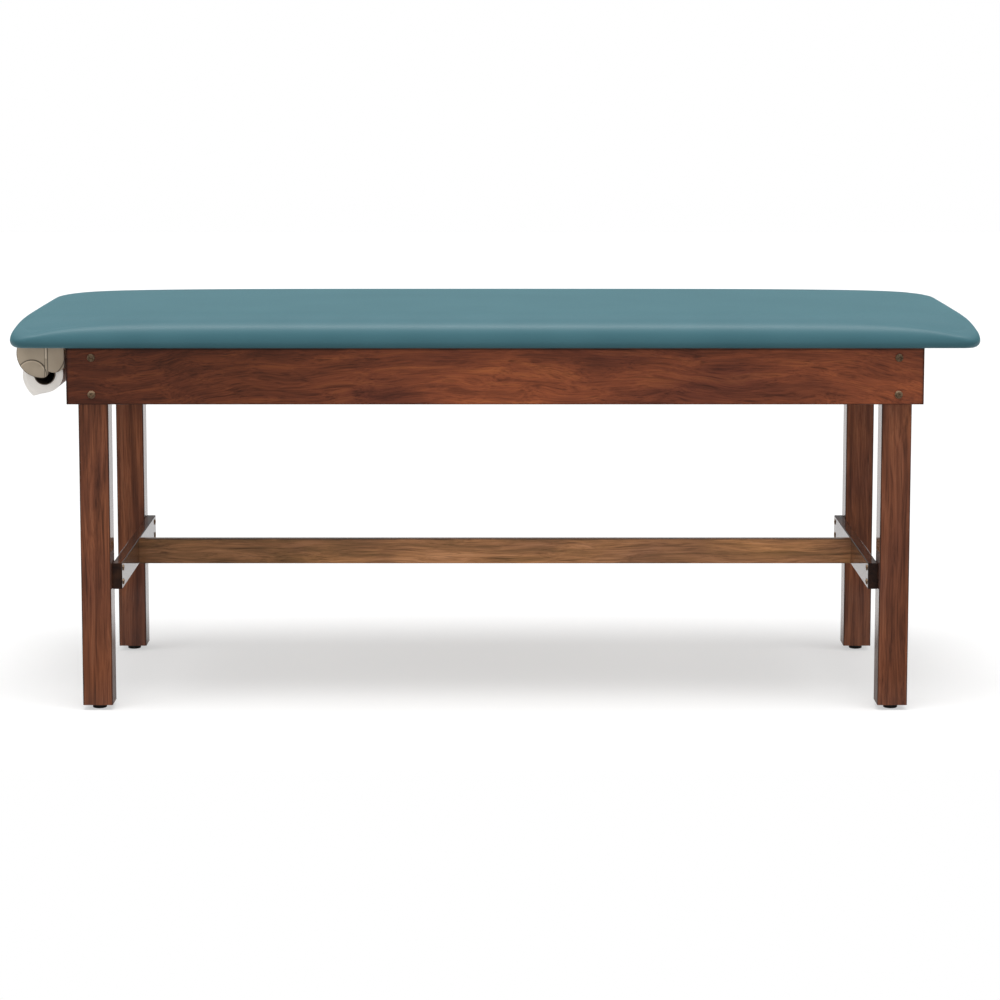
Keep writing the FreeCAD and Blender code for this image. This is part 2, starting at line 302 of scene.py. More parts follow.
@dataclass(frozen=True)
class LacqueredHardwood(Finish):
    """Sawn and planed hardwood, stained, under a glossy sprayed lacquer.

    The stain gives long dark and reddish bands with fine fibre lines; the lacquer is a clear mirror at a low angle.
    """

    dark: str = "#5b2f1f"
    mid: str = "#7f422a"
    pale: str = "#955331"
    grain: Grain = Grain.ALONG_X
    seed: float = 0.0
    band_length_mm: float = 260.0
    band_width_mm: float = 18.0
    band_low: float = 0.30
    band_high: float = 0.74
    band_middle: float = 0.55
    sway_length_mm: float = 270.0
    sway_mm: float = 64.0
    arch: float = 0.0
    fibre_length_mm: float = 110.0
    fibre_width_mm: float = 1.7
    fibre_dark: float = 0.58
    streak_length_mm: float = 170.0
    streak_width_mm: float = 4.4
    streak_dark: float = 0.55
    patch_mm: float = 300.0
    patch_low: tuple[float, float, float] = (0.63, 0.62, 0.72)
    patch_high: tuple[float, float, float] = (1.15, 1.14, 1.02)
    end_grain: float = 0.20
    edge_dark: float = 0.45
    fade: float = 1.0
    fade_from_mm: float = 0.0
    fade_to_mm: float = 0.0
    # Painted shade at the board's tips and a painted shadow under its brow, where set.
    tip_mm: float = 0.0
    tip_painted_shade: float = 0.25
    brow_mm: float = 0.0
    brow_painted_shadow: float = 0.35
    lacquer_roughness: float = 0.045

    def paint(self, tree: bpy.types.NodeTree) -> bpy.types.Node:
        """Build the figure, the stain's tones and the lacquer.

        Args:
            tree: the material's node tree.

        Returns:
            The shader node.
        """
        place = add_node(tree, "ShaderNodeTexCoord")
        axes = add_node(tree, "ShaderNodeSeparateXYZ", {"Vector": place.outputs["Object"]})
        board = add_node(tree, "ShaderNodeMapping", {"Vector": place.outputs["Object"]},
                         {"Rotation": self.grain.value, "Location": (self.seed, self.seed, self.seed)})
        swayed = self.sway(tree, board.outputs["Vector"], axes)
        fibres, lines = self.lines(tree, swayed)
        colour = self.bands(tree, swayed)
        for tone in (*lines, self.patches(tree, board.outputs["Vector"]), *self.edges(tree, place, axes)):
            shaded = add_node(tree, "ShaderNodeMix", {COLOUR_A: colour, COLOUR_B: tone}, {FACTOR: 1.0},
                              data_type="RGBA", blend_type="MULTIPLY")
            colour = shaded.outputs[COLOUR_OUT]
        relief = add_node(tree, "ShaderNodeBump", {"Height": fibres}, {"Strength": 0.10, "Distance": 0.15 * MM})
        return add_node(tree, "ShaderNodeBsdfPrincipled",
                        {"Base Color": colour, "Normal": relief.outputs["Normal"]},
                        {"Roughness": 0.5, "IOR": 1.5, "Specular IOR Level": 0.12, "Coat Weight": 1.0,
                         "Coat Roughness": self.lacquer_roughness, "Coat IOR": 1.5})

    def sway(self, tree: bpy.types.NodeTree, board: bpy.types.NodeSocket,
             axes: bpy.types.Node) -> bpy.types.NodeSocket:
        """Let the fibres wander across the board and arch over its length, so that the bands open into figure.

        Args:
            tree: the material's node tree.
            board: place on the board, with its length along X.
            axes: node that gives the place on the table as three numbers.

        Returns:
            The place that bands and lines are drawn by.
        """
        reach = self.sway_mm * MM
        space = add_node(tree, "ShaderNodeMapping", {"Vector": board},
                         {"Scale": drawn_out(self.sway_length_mm, 1.5 * self.sway_mm)})
        wander = add_node(tree, "ShaderNodeTexNoise", {"Vector": space.outputs["Vector"]},
                          {"Scale": 1.0, "Detail": 2.0, "Roughness": 0.5})
        shift = add_node(tree, "ShaderNodeVectorMath", {0: wander.outputs["Color"]}, {1: (0.5, 0.5, 0.5)},
                         operation="SUBTRACT")
        swayed = add_node(tree, "ShaderNodeVectorMath", {0: shift.outputs[0], 2: board}, {1: (0.0, reach, reach)},
                          operation="MULTIPLY_ADD")
        square = add_node(tree, "ShaderNodeMath", {0: axes.outputs["X"], 1: axes.outputs["X"]}, operation="MULTIPLY")
        lift = add_node(tree, "ShaderNodeMath", {0: square.outputs["Value"]}, {1: self.arch / 2},
                        operation="MULTIPLY")
        rise = add_node(tree, "ShaderNodeCombineXYZ", {"Z": lift.outputs["Value"]})
        arched = add_node(tree, "ShaderNodeVectorMath", {0: swayed.outputs[0], 1: rise.outputs["Vector"]},
                          operation="ADD")
        return arched.outputs[0]

    def bands(self, tree: bpy.types.NodeTree, swayed: bpy.types.NodeSocket) -> bpy.types.NodeSocket:
        """Colour the board in dark, middle and pale bands.

        Args:
            tree: the material's node tree.
            swayed: place on the board, moved by the sway.

        Returns:
            The colour.
        """
        space = add_node(tree, "ShaderNodeMapping", {"Vector": swayed},
                         {"Scale": drawn_out(self.band_length_mm, self.band_width_mm)})
        bands = add_node(tree, "ShaderNodeTexNoise", {"Vector": space.outputs["Vector"]},
                         {"Scale": 1.0, "Detail": 6.0, "Roughness": 0.7, "Distortion": 0.3})
        depth = add_node(tree, "ShaderNodeMapRange", {"Value": bands.outputs["Fac"]},
                         {"From Min": self.band_low, "From Max": self.band_high}, interpolation_type="SMOOTHSTEP")
        low = add_node(tree, "ShaderNodeMapRange", {"Value": depth.outputs["Result"]},
                       {"From Min": 0.0, "From Max": self.band_middle})
        high = add_node(tree, "ShaderNodeMapRange", {"Value": depth.outputs["Result"]},
                        {"From Min": self.band_middle, "From Max": 1.0})
        under = add_node(tree, "ShaderNodeMix", {FACTOR: low.outputs["Result"]},
                         {COLOUR_A: linear(self.dark), COLOUR_B: linear(self.mid)}, data_type="RGBA")
        colour = add_node(tree, "ShaderNodeMix",
                          {FACTOR: high.outputs["Result"], COLOUR_A: under.outputs[COLOUR_OUT]},
                          {COLOUR_B: linear(self.pale)}, data_type="RGBA")
        return colour.outputs[COLOUR_OUT]

    def lines(self, tree: bpy.types.NodeTree,
              swayed: bpy.types.NodeSocket) -> tuple[bpy.types.NodeSocket, list[bpy.types.NodeSocket]]:
        """Draw fibres, coarser than they are so that they show, and a few sharper streaks where pores are open.

        Args:
            tree: the material's node tree.
            swayed: place on the board, moved by the sway.

        Returns:
            The fibres' height, and the tones of fibres and streaks.
        """
        fibre_space = add_node(tree, "ShaderNodeMapping", {"Vector": swayed},
                               {"Scale": drawn_out(self.fibre_length_mm, self.fibre_width_mm)})
        fibres = add_node(tree, "ShaderNodeTexNoise", {"Vector": fibre_space.outputs["Vector"]},
                          {"Scale": 1.0, "Detail": 4.0, "Roughness": 0.65})
        fibre_tone = add_node(tree, "ShaderNodeMapRange", {"Value": fibres.outputs["Fac"]},
                              {"From Min": 0.33, "From Max": 0.53, "To Min": self.fibre_dark, "To Max": 1.06})
        streak_space = add_node(tree, "ShaderNodeMapping", {"Vector": swayed},
                                {"Scale": drawn_out(self.streak_length_mm, self.streak_width_mm),
                                 "Location": (7.0, 3.0, 5.0)})
        streaks = add_node(tree, "ShaderNodeTexNoise", {"Vector": streak_space.outputs["Vector"]},
                           {"Scale": 1.0, "Detail": 2.0, "Roughness": 0.55})
        streak_tone = add_node(tree, "ShaderNodeMapRange", {"Value": streaks.outputs["Fac"]},
                               {"From Min": 0.27, "From Max": 0.41, "To Min": self.streak_dark, "To Max": 1.03})
        return fibres.outputs["Fac"], [fibre_tone.outputs["Result"], streak_tone.outputs["Result"]]

    def patches(self, tree: bpy.types.NodeTree, board: bpy.types.NodeSocket) -> bpy.types.NodeSocket:
        """Let broad patches take the stain unevenly, some towards purple and some towards orange.

        Args:
            tree: the material's node tree.
            board: place on the board, with its length along X.

        Returns:
            The tint.
        """
        space = add_node(tree, "ShaderNodeMapping", {"Vector": board},
                         {"Scale": drawn_out(self.patch_mm, self.patch_mm / 3)})
        patches = add_node(tree, "ShaderNodeTexNoise", {"Vector": space.outputs["Vector"]},
                           {"Scale": 1.0, "Detail": 2.0, "Roughness": 0.5, "Distortion": 0.6})
        share = add_node(tree, "ShaderNodeMapRange", {"Value": patches.outputs["Fac"]},
                         {"From Min": 0.32, "From Max": 0.66})
        tint = add_node(tree, "ShaderNodeMix", {FACTOR: share.outputs["Result"]},
                        {COLOUR_A: (*self.patch_low, 1.0), COLOUR_B: (*self.patch_high, 1.0)}, data_type="RGBA")
        return tint.outputs[COLOUR_OUT]

    def edges(self, tree: bpy.types.NodeTree, place: bpy.types.Node,
              axes: bpy.types.Node) -> list[bpy.types.NodeSocket]:
        """Darken end grain, which takes more stain, and eased edges; where set, paint shade on the board's ends and
        a shadow along its brow.

        Args:
            tree: the material's node tree.
            place: texture coordinate node.
            axes: node that gives the place on the table as three numbers.

        Returns:
            The tones.
        """
        turned = add_node(tree, "ShaderNodeMapping", {"Vector": place.outputs["Normal"]},
                          {"Rotation": self.grain.value}, vector_type="NORMAL")
        flat = add_node(tree, "ShaderNodeVectorMath", {0: turned.outputs["Vector"]}, operation="ABSOLUTE")
        normal = add_node(tree, "ShaderNodeSeparateXYZ", {"Vector": flat.outputs[0]})
        end = add_node(tree, "ShaderNodeMapRange", {"Value": normal.outputs["X"]},
                       {"From Min": 0.7, "From Max": 0.95, "To Min": 1.0, "To Max": self.end_grain})
        across = add_node(tree, "ShaderNodeMath", {0: normal.outputs["Y"], 1: normal.outputs["Z"]},
                          operation="MAXIMUM")
        square = add_node(tree, "ShaderNodeMath", {0: across.outputs["Value"], 1: normal.outputs["X"]},
                          operation="MAXIMUM")
        edge = add_node(tree, "ShaderNodeMapRange", {"Value": square.outputs["Value"]},
                        {"From Min": 0.9, "From Max": 0.995, "To Min": self.edge_dark, "To Max": 1.0})
        tones = [end.outputs["Result"], edge.outputs["Result"]]
        if self.fade < 1.0:
            # The board is darker towards one end.
            run = add_node(tree, "ShaderNodeMapRange", {"Value": axes.outputs["X"]},
                           {"From Min": self.fade_from_mm * MM, "From Max": self.fade_to_mm * MM,
                            "To Min": self.fade, "To Max": 1.0}, interpolation_type="SMOOTHSTEP")
            tones.append(run.outputs["Result"])
        if self.tip_mm:
            # Painted shade: the last few millimetres of both ends are dark, as the shade of their turned edges, and
            # the end faces keep the tone of end grain.
            reach = add_node(tree, "ShaderNodeMath", {0: axes.outputs["X"]}, operation="ABSOLUTE")
            tip = add_node(tree, "ShaderNodeMapRange", {"Value": reach.outputs["Value"]},
                           {"From Min": (self.tip_mm - 5) * MM, "From Max": (self.tip_mm - 1) * MM, "To Min": 1.0,
                            "To Max": self.tip_painted_shade})
            faced = add_node(tree, "ShaderNodeMath", {0: tip.outputs["Result"], 1: normal.outputs["X"]},
                             operation="MAXIMUM")
            tones.append(faced.outputs["Value"])
        if self.brow_mm:
            # Painted shadow: where the board meets the padding above it, a thin line stays dark, as the overhanging
            # padding's shadow.
            brow = add_node(tree, "ShaderNodeMapRange", {"Value": axes.outputs["Z"]},
                            {"From Min": (self.brow_mm - 6) * MM, "From Max": (self.brow_mm - 3) * MM, "To Min": 1.0,
                             "To Max": self.brow_painted_shadow})
            tones.append(brow.outputs["Result"])
        return tones


@dataclass(frozen=True)
class PlainTimber(Finish):
    """Planed or sanded pale wood without finish: straight soft grain, dull."""

    early: str = "#c9a878"
    late: str = "#a67f4f"
    grain: Grain = Grain.ALONG_X
    ring_mm: float = 7.0

    def paint(self, tree: bpy.types.NodeTree) -> bpy.types.Node:
        """Build soft grain stripes along the board.

        Args:
            tree: the material's node tree.

        Returns:
            The shader node.
        """
        place = add_node(tree, "ShaderNodeTexCoord")
        board = add_node(tree, "ShaderNodeMapping", {"Vector": place.outputs["Object"]},
                         {"Rotation": self.grain.value})
        space = add_node(tree, "ShaderNodeMapping", {"Vector": board.outputs["Vector"]},
                         {"Scale": drawn_out(60 * self.ring_mm, self.ring_mm)})
        rings = add_node(tree, "ShaderNodeTexNoise", {"Vector": space.outputs["Vector"]},
                         {"Scale": 1.0, "Detail": 5.0, "Roughness": 0.6, "Distortion": 0.4})
        depth = add_node(tree, "ShaderNodeMapRange", {"Value": rings.outputs["Fac"]},
                         {"From Min": 0.35, "From Max": 0.66})
        colour = add_node(tree, "ShaderNodeMix", {FACTOR: depth.outputs["Result"]},
                          {COLOUR_A: linear(self.early), COLOUR_B: linear(self.late)}, data_type="RGBA")
        relief = add_node(tree, "ShaderNodeBump", {"Height": rings.outputs["Fac"]},
                          {"Strength": 0.2, "Distance": 0.2 * MM})
        return add_node(tree, "ShaderNodeBsdfPrincipled",
                        {"Base Color": colour.outputs[COLOUR_OUT], "Normal": relief.outputs["Normal"]},
                        {"Roughness": 0.72, "Specular IOR Level": 0.3})


@dataclass(frozen=True)
class EmbossedVinyl(Finish):
    """Vinyl-coated upholstery fabric, calendered and embossed with a fine skin grain.

    The eye gets a satin teal that pales towards a low angle, with a grain that only breaks up the highlight.
    """

    tone: str = "#38616a"
    paler_tone: str = "#3c656e"
    bloom: str = "#5a949f"
    grain_mm: float = 2.2
    cloud_mm: float = 160.0
    roughness_low: float = 0.41
    roughness_high: float = 0.51

    def paint(self, tree: bpy.types.NodeTree) -> bpy.types.Node:
        """Build the tone, the slow clouding and the skin grain, drawn at twice its real size so that it shows.

        Args:
            tree: the material's node tree.

        Returns:
            The shader node.
        """
        place = add_node(tree, "ShaderNodeTexCoord")
        clouds = add_node(tree, "ShaderNodeTexNoise", {"Vector": place.outputs["Object"]},
                          {"Scale": 1 / (self.cloud_mm * MM), "Detail": 3.0, "Roughness": 0.5})
        share = add_node(tree, "ShaderNodeMapRange", {"Value": clouds.outputs["Fac"]},
                         {"From Min": 0.35, "From Max": 0.65})
        colour = add_node(tree, "ShaderNodeMix", {FACTOR: share.outputs["Result"]},
                          {COLOUR_A: linear(self.tone), COLOUR_B: linear(self.paler_tone)}, data_type="RGBA")
        cells = add_node(tree, "ShaderNodeTexVoronoi", {"Vector": place.outputs["Object"]},
                         {"Scale": 1 / (self.grain_mm * MM), "Smoothness": 0.6, "Randomness": 1.0},
                         feature="SMOOTH_F1")
        gloss = add_node(tree, "ShaderNodeMapRange", {"Value": cells.outputs["Distance"]},
                         {"From Min": 0.0, "From Max": 0.8, "To Min": self.roughness_low,
                          "To Max": self.roughness_high})
        relief = add_node(tree, "ShaderNodeBump", {"Height": cells.outputs["Distance"]},
                          {"Strength": 0.12, "Distance": 0.12 * MM}, invert=True)
        return add_node(tree, "ShaderNodeBsdfPrincipled",
                        {"Base Color": colour.outputs[COLOUR_OUT], "Roughness": gloss.outputs["Result"],
                         "Normal": relief.outputs["Normal"]},
                        {"IOR": 1.5, "Specular IOR Level": 0.4, "Sheen Weight": 0.48, "Sheen Roughness": 0.45,
                         "Sheen Tint": linear(self.bloom)})


@dataclass(frozen=True)
class MouldedPlastic(Finish):
    """Injection-moulded plastic with a spark-eroded satin skin: even colour, soft broad highlight."""

    tone: str = "#b7a894"
    shade: str = "#a49581"
    roughness: float = 0.42
    cloud_mm: float = 30.0
    texture_mm: float = 1.6

    def paint(self, tree: bpy.types.NodeTree) -> bpy.types.Node:
        """Build a faintly uneven tone and a fine moulded texture.

        Args:
            tree: the material's node tree.

        Returns:
            The shader node.
        """
        place = add_node(tree, "ShaderNodeTexCoord")
        clouds = add_node(tree, "ShaderNodeTexNoise", {"Vector": place.outputs["Object"]},
                          {"Scale": 1 / (self.cloud_mm * MM), "Detail": 3.0})
        colour = add_node(tree, "ShaderNodeMix", {FACTOR: clouds.outputs["Fac"]},
                          {COLOUR_A: linear(self.tone), COLOUR_B: linear(self.shade)}, data_type="RGBA")
        skin = add_node(tree, "ShaderNodeTexNoise", {"Vector": place.outputs["Object"]},
                        {"Scale": 1 / (self.texture_mm * MM), "Detail": 2.0})
        relief = add_node(tree, "ShaderNodeBump", {"Height": skin.outputs["Fac"]},
                          {"Strength": 0.10, "Distance": 0.1 * MM})
        return add_node(tree, "ShaderNodeBsdfPrincipled",
                        {"Base Color": colour.outputs[COLOUR_OUT], "Normal": relief.outputs["Normal"]},
                        {"Roughness": self.roughness, "IOR": 1.5})


@dataclass(frozen=True)
class CreasedPlastic(MouldedPlastic):
    """Moulded plastic with painted shade along its creases and corners and a painted highlight on the rim of its
    boss.

    Rings (painted shade) and highlight rims (painted highlight) are (x, z, radius) of circles, uprights are places
    along X and levels are heights, both with painted shade.
    """

    rings: tuple[tuple[float, float, float], ...] = ()
    painted_highlight_rims: tuple[tuple[float, float, float], ...] = ()
    uprights: tuple[float, ...] = ()
    levels: tuple[float, ...] = ()
    crease_mm: float = 1.6
    painted_shade: float = 0.36
    paler_tone: float = 1.32

    def paint(self, tree: bpy.types.NodeTree) -> bpy.types.Node:
        """Paint shade on the plastic along round and straight lines that run through the cheek, and paint a
        highlight along its rims.

        Args:
            tree: the material's node tree.

        Returns:
            The shader node.
        """
        shader = super().paint(tree)
        place = add_node(tree, "ShaderNodeTexCoord")
        flat = add_node(tree, "ShaderNodeVectorMath", {0: place.outputs["Object"]}, {1: (1.0, 0.0, 1.0)},
                        operation="MULTIPLY")
        axes = add_node(tree, "ShaderNodeSeparateXYZ", {"Vector": flat.outputs[0]})
        # Painted shade along the uprights, levels and rings, where creases and corners would lie in shade; painted
        # highlight on the rims.
        lines = [(axes.outputs["X"], x, self.painted_shade) for x in self.uprights]
        lines += [(axes.outputs["Z"], z, self.painted_shade) for z in self.levels]
        for circles, tone in ((self.rings, self.painted_shade), (self.painted_highlight_rims, self.paler_tone)):
            for x, z, radius in circles:
                reach = add_node(tree, "ShaderNodeVectorMath", {0: flat.outputs[0]}, {1: (x, 0.0, z)},
                                 operation="DISTANCE")
                lines.append((reach.outputs["Value"], radius, tone))
        colour = shader.inputs["Base Color"].links[0].from_socket
        for source, middle, tone in lines:
            off = add_node(tree, "ShaderNodeMath", {0: source}, {1: middle}, operation="SUBTRACT")
            gap = add_node(tree, "ShaderNodeMath", {0: off.outputs["Value"]}, operation="ABSOLUTE")
            depth = add_node(tree, "ShaderNodeMapRange", {"Value": gap.outputs["Value"]},
                             {"From Min": 0.3 * self.crease_mm * MM, "From Max": self.crease_mm * MM,
                              "To Min": tone, "To Max": 1.0}, interpolation_type="SMOOTHSTEP")
            creased = add_node(tree, "ShaderNodeMix", {COLOUR_A: colour, COLOUR_B: depth.outputs["Result"]},
                               {FACTOR: 1.0}, data_type="RGBA", blend_type="MULTIPLY")
            colour = creased.outputs[COLOUR_OUT]
        tree.links.new(colour, shader.inputs["Base Color"])
        return shader


@dataclass(frozen=True)
class PlatedSteel(Finish):
    """Barrel-plated steel: metallic, slightly mottled, dull where the plating pooled."""

    tone: str = "#d6b897"
    pooled: str = "#7a604b"
    roughness_low: float = 0.30
    roughness_high: float = 0.50
    mottle_mm: float = 2.5

    def paint(self, tree: bpy.types.NodeTree) -> bpy.types.Node:
        """Build the mottled plating.

        Args:
            tree: the material's node tree.

        Returns:
            The shader node.
        """
        place = add_node(tree, "ShaderNodeTexCoord")
        mottle = add_node(tree, "ShaderNodeTexNoise", {"Vector": place.outputs["Object"]},
                          {"Scale": 1 / (self.mottle_mm * MM), "Detail": 4.0})
        share = add_node(tree, "ShaderNodeMapRange", {"Value": mottle.outputs["Fac"]},
                         {"From Min": 0.35, "From Max": 0.7})
        colour = add_node(tree, "ShaderNodeMix", {FACTOR: share.outputs["Result"]},
                          {COLOUR_A: linear(self.tone), COLOUR_B: linear(self.pooled)}, data_type="RGBA")
        gloss = add_node(tree, "ShaderNodeMapRange", {"Value": mottle.outputs["Fac"]},
                         {"To Min": self.roughness_low, "To Max": self.roughness_high})
        return add_node(tree, "ShaderNodeBsdfPrincipled",
                        {"Base Color": colour.outputs[COLOUR_OUT], "Roughness": gloss.outputs["Result"]},
                        {"Metallic": 1.0})


@dataclass(frozen=True)
class SmoothPaper(Finish):
    """Machine-calendered white paper, thin enough to glow a little; the roll's ends show its layers."""

    sheet: str = "#fbf7f2"
    layer: str = "#ece6de"
    fibre_mm: float = 6.0
    axis_x: float = 0.0
    axis_z: float = 0.0
    layer_mm: float = 1.6
    wound: bool = False

    def paint(self, tree: bpy.types.NodeTree) -> bpy.types.Node:
        """Build the sheet's fibre clouding, and rings round the roll's axis on a wound roll.

        Args:
            tree: the material's node tree.

        Returns:
            The shader node.
        """
        place = add_node(tree, "ShaderNodeTexCoord")
        fibres = add_node(tree, "ShaderNodeTexNoise", {"Vector": place.outputs["Object"]},
                          {"Scale": 1 / (self.fibre_mm * MM), "Detail": 5.0, "Roughness": 0.7})
        share = add_node(tree, "ShaderNodeMapRange", {"Value": fibres.outputs["Fac"]},
                         {"From Min": 0.3, "From Max": 0.75, "To Max": 0.35})
        if self.wound:
            # Layers are thinner than this; they are drawn coarser so that they show.
            centred = add_node(tree, "ShaderNodeMapping", {"Vector": place.outputs["Object"]},
                               {"Location": (-self.axis_x, 0.0, -self.axis_z)})
            rings = add_node(tree, "ShaderNodeTexWave", {"Vector": centred.outputs["Vector"]},
                             {"Scale": WAVE_REPEAT / (self.layer_mm * MM), "Distortion": 0.8, "Detail": 2.0},
                             wave_type="RINGS", rings_direction="Y")
            facing_end = add_node(tree, "ShaderNodeSeparateXYZ", {"Vector": place.outputs["Normal"]})
            end = add_node(tree, "ShaderNodeMath", {0: facing_end.outputs["Y"]}, operation="ABSOLUTE")
            lined = add_node(tree, "ShaderNodeMath", {0: rings.outputs["Fac"], 1: end.outputs["Value"]},
                             operation="MULTIPLY")
            share = add_node(tree, "ShaderNodeMath", {0: share.outputs["Result"], 1: lined.outputs["Value"]},
                             operation="MAXIMUM")
        colour = add_node(tree, "ShaderNodeMix", {FACTOR: share.outputs[0]},
                          {COLOUR_A: linear(self.sheet), COLOUR_B: linear(self.layer)}, data_type="RGBA")
        relief = add_node(tree, "ShaderNodeBump", {"Height": share.outputs[0]},
                          {"Strength": 0.15, "Distance": 0.2 * MM})
        return add_node(tree, "ShaderNodeBsdfPrincipled",
                        {"Base Color": colour.outputs[COLOUR_OUT], "Normal": relief.outputs["Normal"]},
                        {"Roughness": 0.78, "Specular IOR Level": 0.25, "Subsurface Weight": 0.3,
                         "Subsurface Radius": (1.0, 0.95, 0.9), "Subsurface Scale": 1.5 * MM})


@dataclass(frozen=True)
class WoundBoard(Finish):
    """Board wound in a spiral to a tube: dull, with a slanting butt seam; its grey-brown tones are darker than bare
    board, as painted shade for the shadowed bore.
    """

    # Both tones are darkened below bare board: painted shade inside the roll's bore.
    face: str = "#5a4f45"
    seam: str = "#463d35"
    strip_mm: float = 70.0
    slant_deg: float = 52.0
    fleck_mm: float = 2.0

    def paint(self, tree: bpy.types.NodeTree) -> bpy.types.Node:
        """Build the slanting strips and the board's flecks.

        Args:
            tree: the material's node tree.

        Returns:
            The shader node.
        """
        place = add_node(tree, "ShaderNodeTexCoord")
        turned = add_node(tree, "ShaderNodeMapping", {"Vector": place.outputs["Object"]},
                          {"Rotation": (0.0, 0.0, math.radians(self.slant_deg))})
        strips = add_node(tree, "ShaderNodeTexWave", {"Vector": turned.outputs["Vector"]},
                          {"Scale": WAVE_REPEAT / (self.strip_mm * MM)}, wave_profile="SAW")
        edge = add_node(tree, "ShaderNodeMapRange", {"Value": strips.outputs["Fac"]},
                        {"From Min": 0.94, "From Max": 0.97, "To Max": 0.8})
        flecks = add_node(tree, "ShaderNodeTexNoise", {"Vector": place.outputs["Object"]},
                          {"Scale": 1 / (self.fleck_mm * MM), "Detail": 5.0})
        share = add_node(tree, "ShaderNodeMath", {0: edge.outputs["Result"], 1: flecks.outputs["Fac"]},
                         operation="MULTIPLY")
        colour = add_node(tree, "ShaderNodeMix", {FACTOR: share.outputs["Value"]},
                          {COLOUR_A: linear(self.face), COLOUR_B: linear(self.seam)}, data_type="RGBA")
        return add_node(tree, "ShaderNodeBsdfPrincipled", {"Base Color": colour.outputs[COLOUR_OUT]},
                        {"Roughness": 0.85, "Specular IOR Level": 0.2})


# The apron carries painted shade at its tips and a painted shadow under the padding, through tip_mm and brow_mm.
APRON_WOOD = LacqueredHardwood("lacquered hardwood apron", seed=3.1, band_low=0.25, band_high=0.79, arch=0.17,
                               end_grain=0.42, fade=0.53, fade_from_mm=-560, fade_to_mm=-60, tip_mm=808.5,
                               brow_mm=701)
CROSS_APRON_WOOD = LacqueredHardwood("lacquered hardwood end apron", grain=Grain.ALONG_Y, seed=7.4)
LEG_WOOD = LacqueredHardwood("lacquered hardwood leg", dark="#5c3423", mid="#7b4831", pale="#8a563d",
                             grain=Grain.ALONG_Z, seed=1.7, band_length_mm=420, band_width_mm=12, band_low=0.34,
                             band_high=0.70, sway_length_mm=450, sway_mm=36)
RAIL_WOOD = LacqueredHardwood("lacquered hardwood rail", dark="#4a2b1d", mid="#6c422c", pale="#835338",
                              grain=Grain.ALONG_Y, seed=5.2)
STRETCHER_WOOD = LacqueredHardwood("lacquered hardwood stretcher", dark="#886341", mid="#b78158", pale="#cc946a",
                                   seed=9.3, band_width_mm=14, sway_mm=36, fade=0.62, fade_from_mm=-620,
                                   fade_to_mm=-20)
BATTEN_ALONG = PlainTimber("planed softwood batten")
BATTEN_ACROSS = PlainTimber("planed softwood cross rail", grain=Grain.ALONG_Y)
DECK_PLY = PlainTimber("sanded plywood deck", early="#cdb084", late="#b4935f", ring_mm=16.0)
VINYL = EmbossedVinyl("embossed upholstery vinyl")
# Painted shade along two round creases, the post's two corners and the flange line; a painted highlight on the
# boss's rim.
CHEEK_PLASTIC = CreasedPlastic("moulded taupe plastic",
                               rings=((-0.8855, 0.640, 0.0286), (-0.8675, 0.681, 0.0468)),
                               painted_highlight_rims=((-0.8855, 0.640, 0.0264),), uprights=(-0.8603, -0.8542), levels=(0.6963,))
# The bead's plastic is a paler copy of the cheek's: a painted highlight along the raised bead.
BEAD_PLASTIC = MouldedPlastic("moulded taupe plastic bead", tone="#d2c4b0", shade="#c6b7a2")
GLIDE_NYLON = MouldedPlastic("moulded black nylon", tone="#141414", shade="#1b1b1b", roughness=0.38)
BRONZED = PlatedSteel("bronze-plated steel", roughness_low=0.42, roughness_high=0.62)
ZINC = PlatedSteel("zinc-plated steel", tone="#b9bab8", pooled="#8f918f")
CORE_BOARD = WoundBoard("spiral-wound board")
SHEET_PAPER = SmoothPaper("calendered paper sheet")


@dataclass(frozen=True)
class SoftLight:
    """A far, soft light: where it comes from, its strength, and whether shiny surfaces mirror it."""

    way: tuple[float, float, float]
    strength: float
    mirrored: bool = True


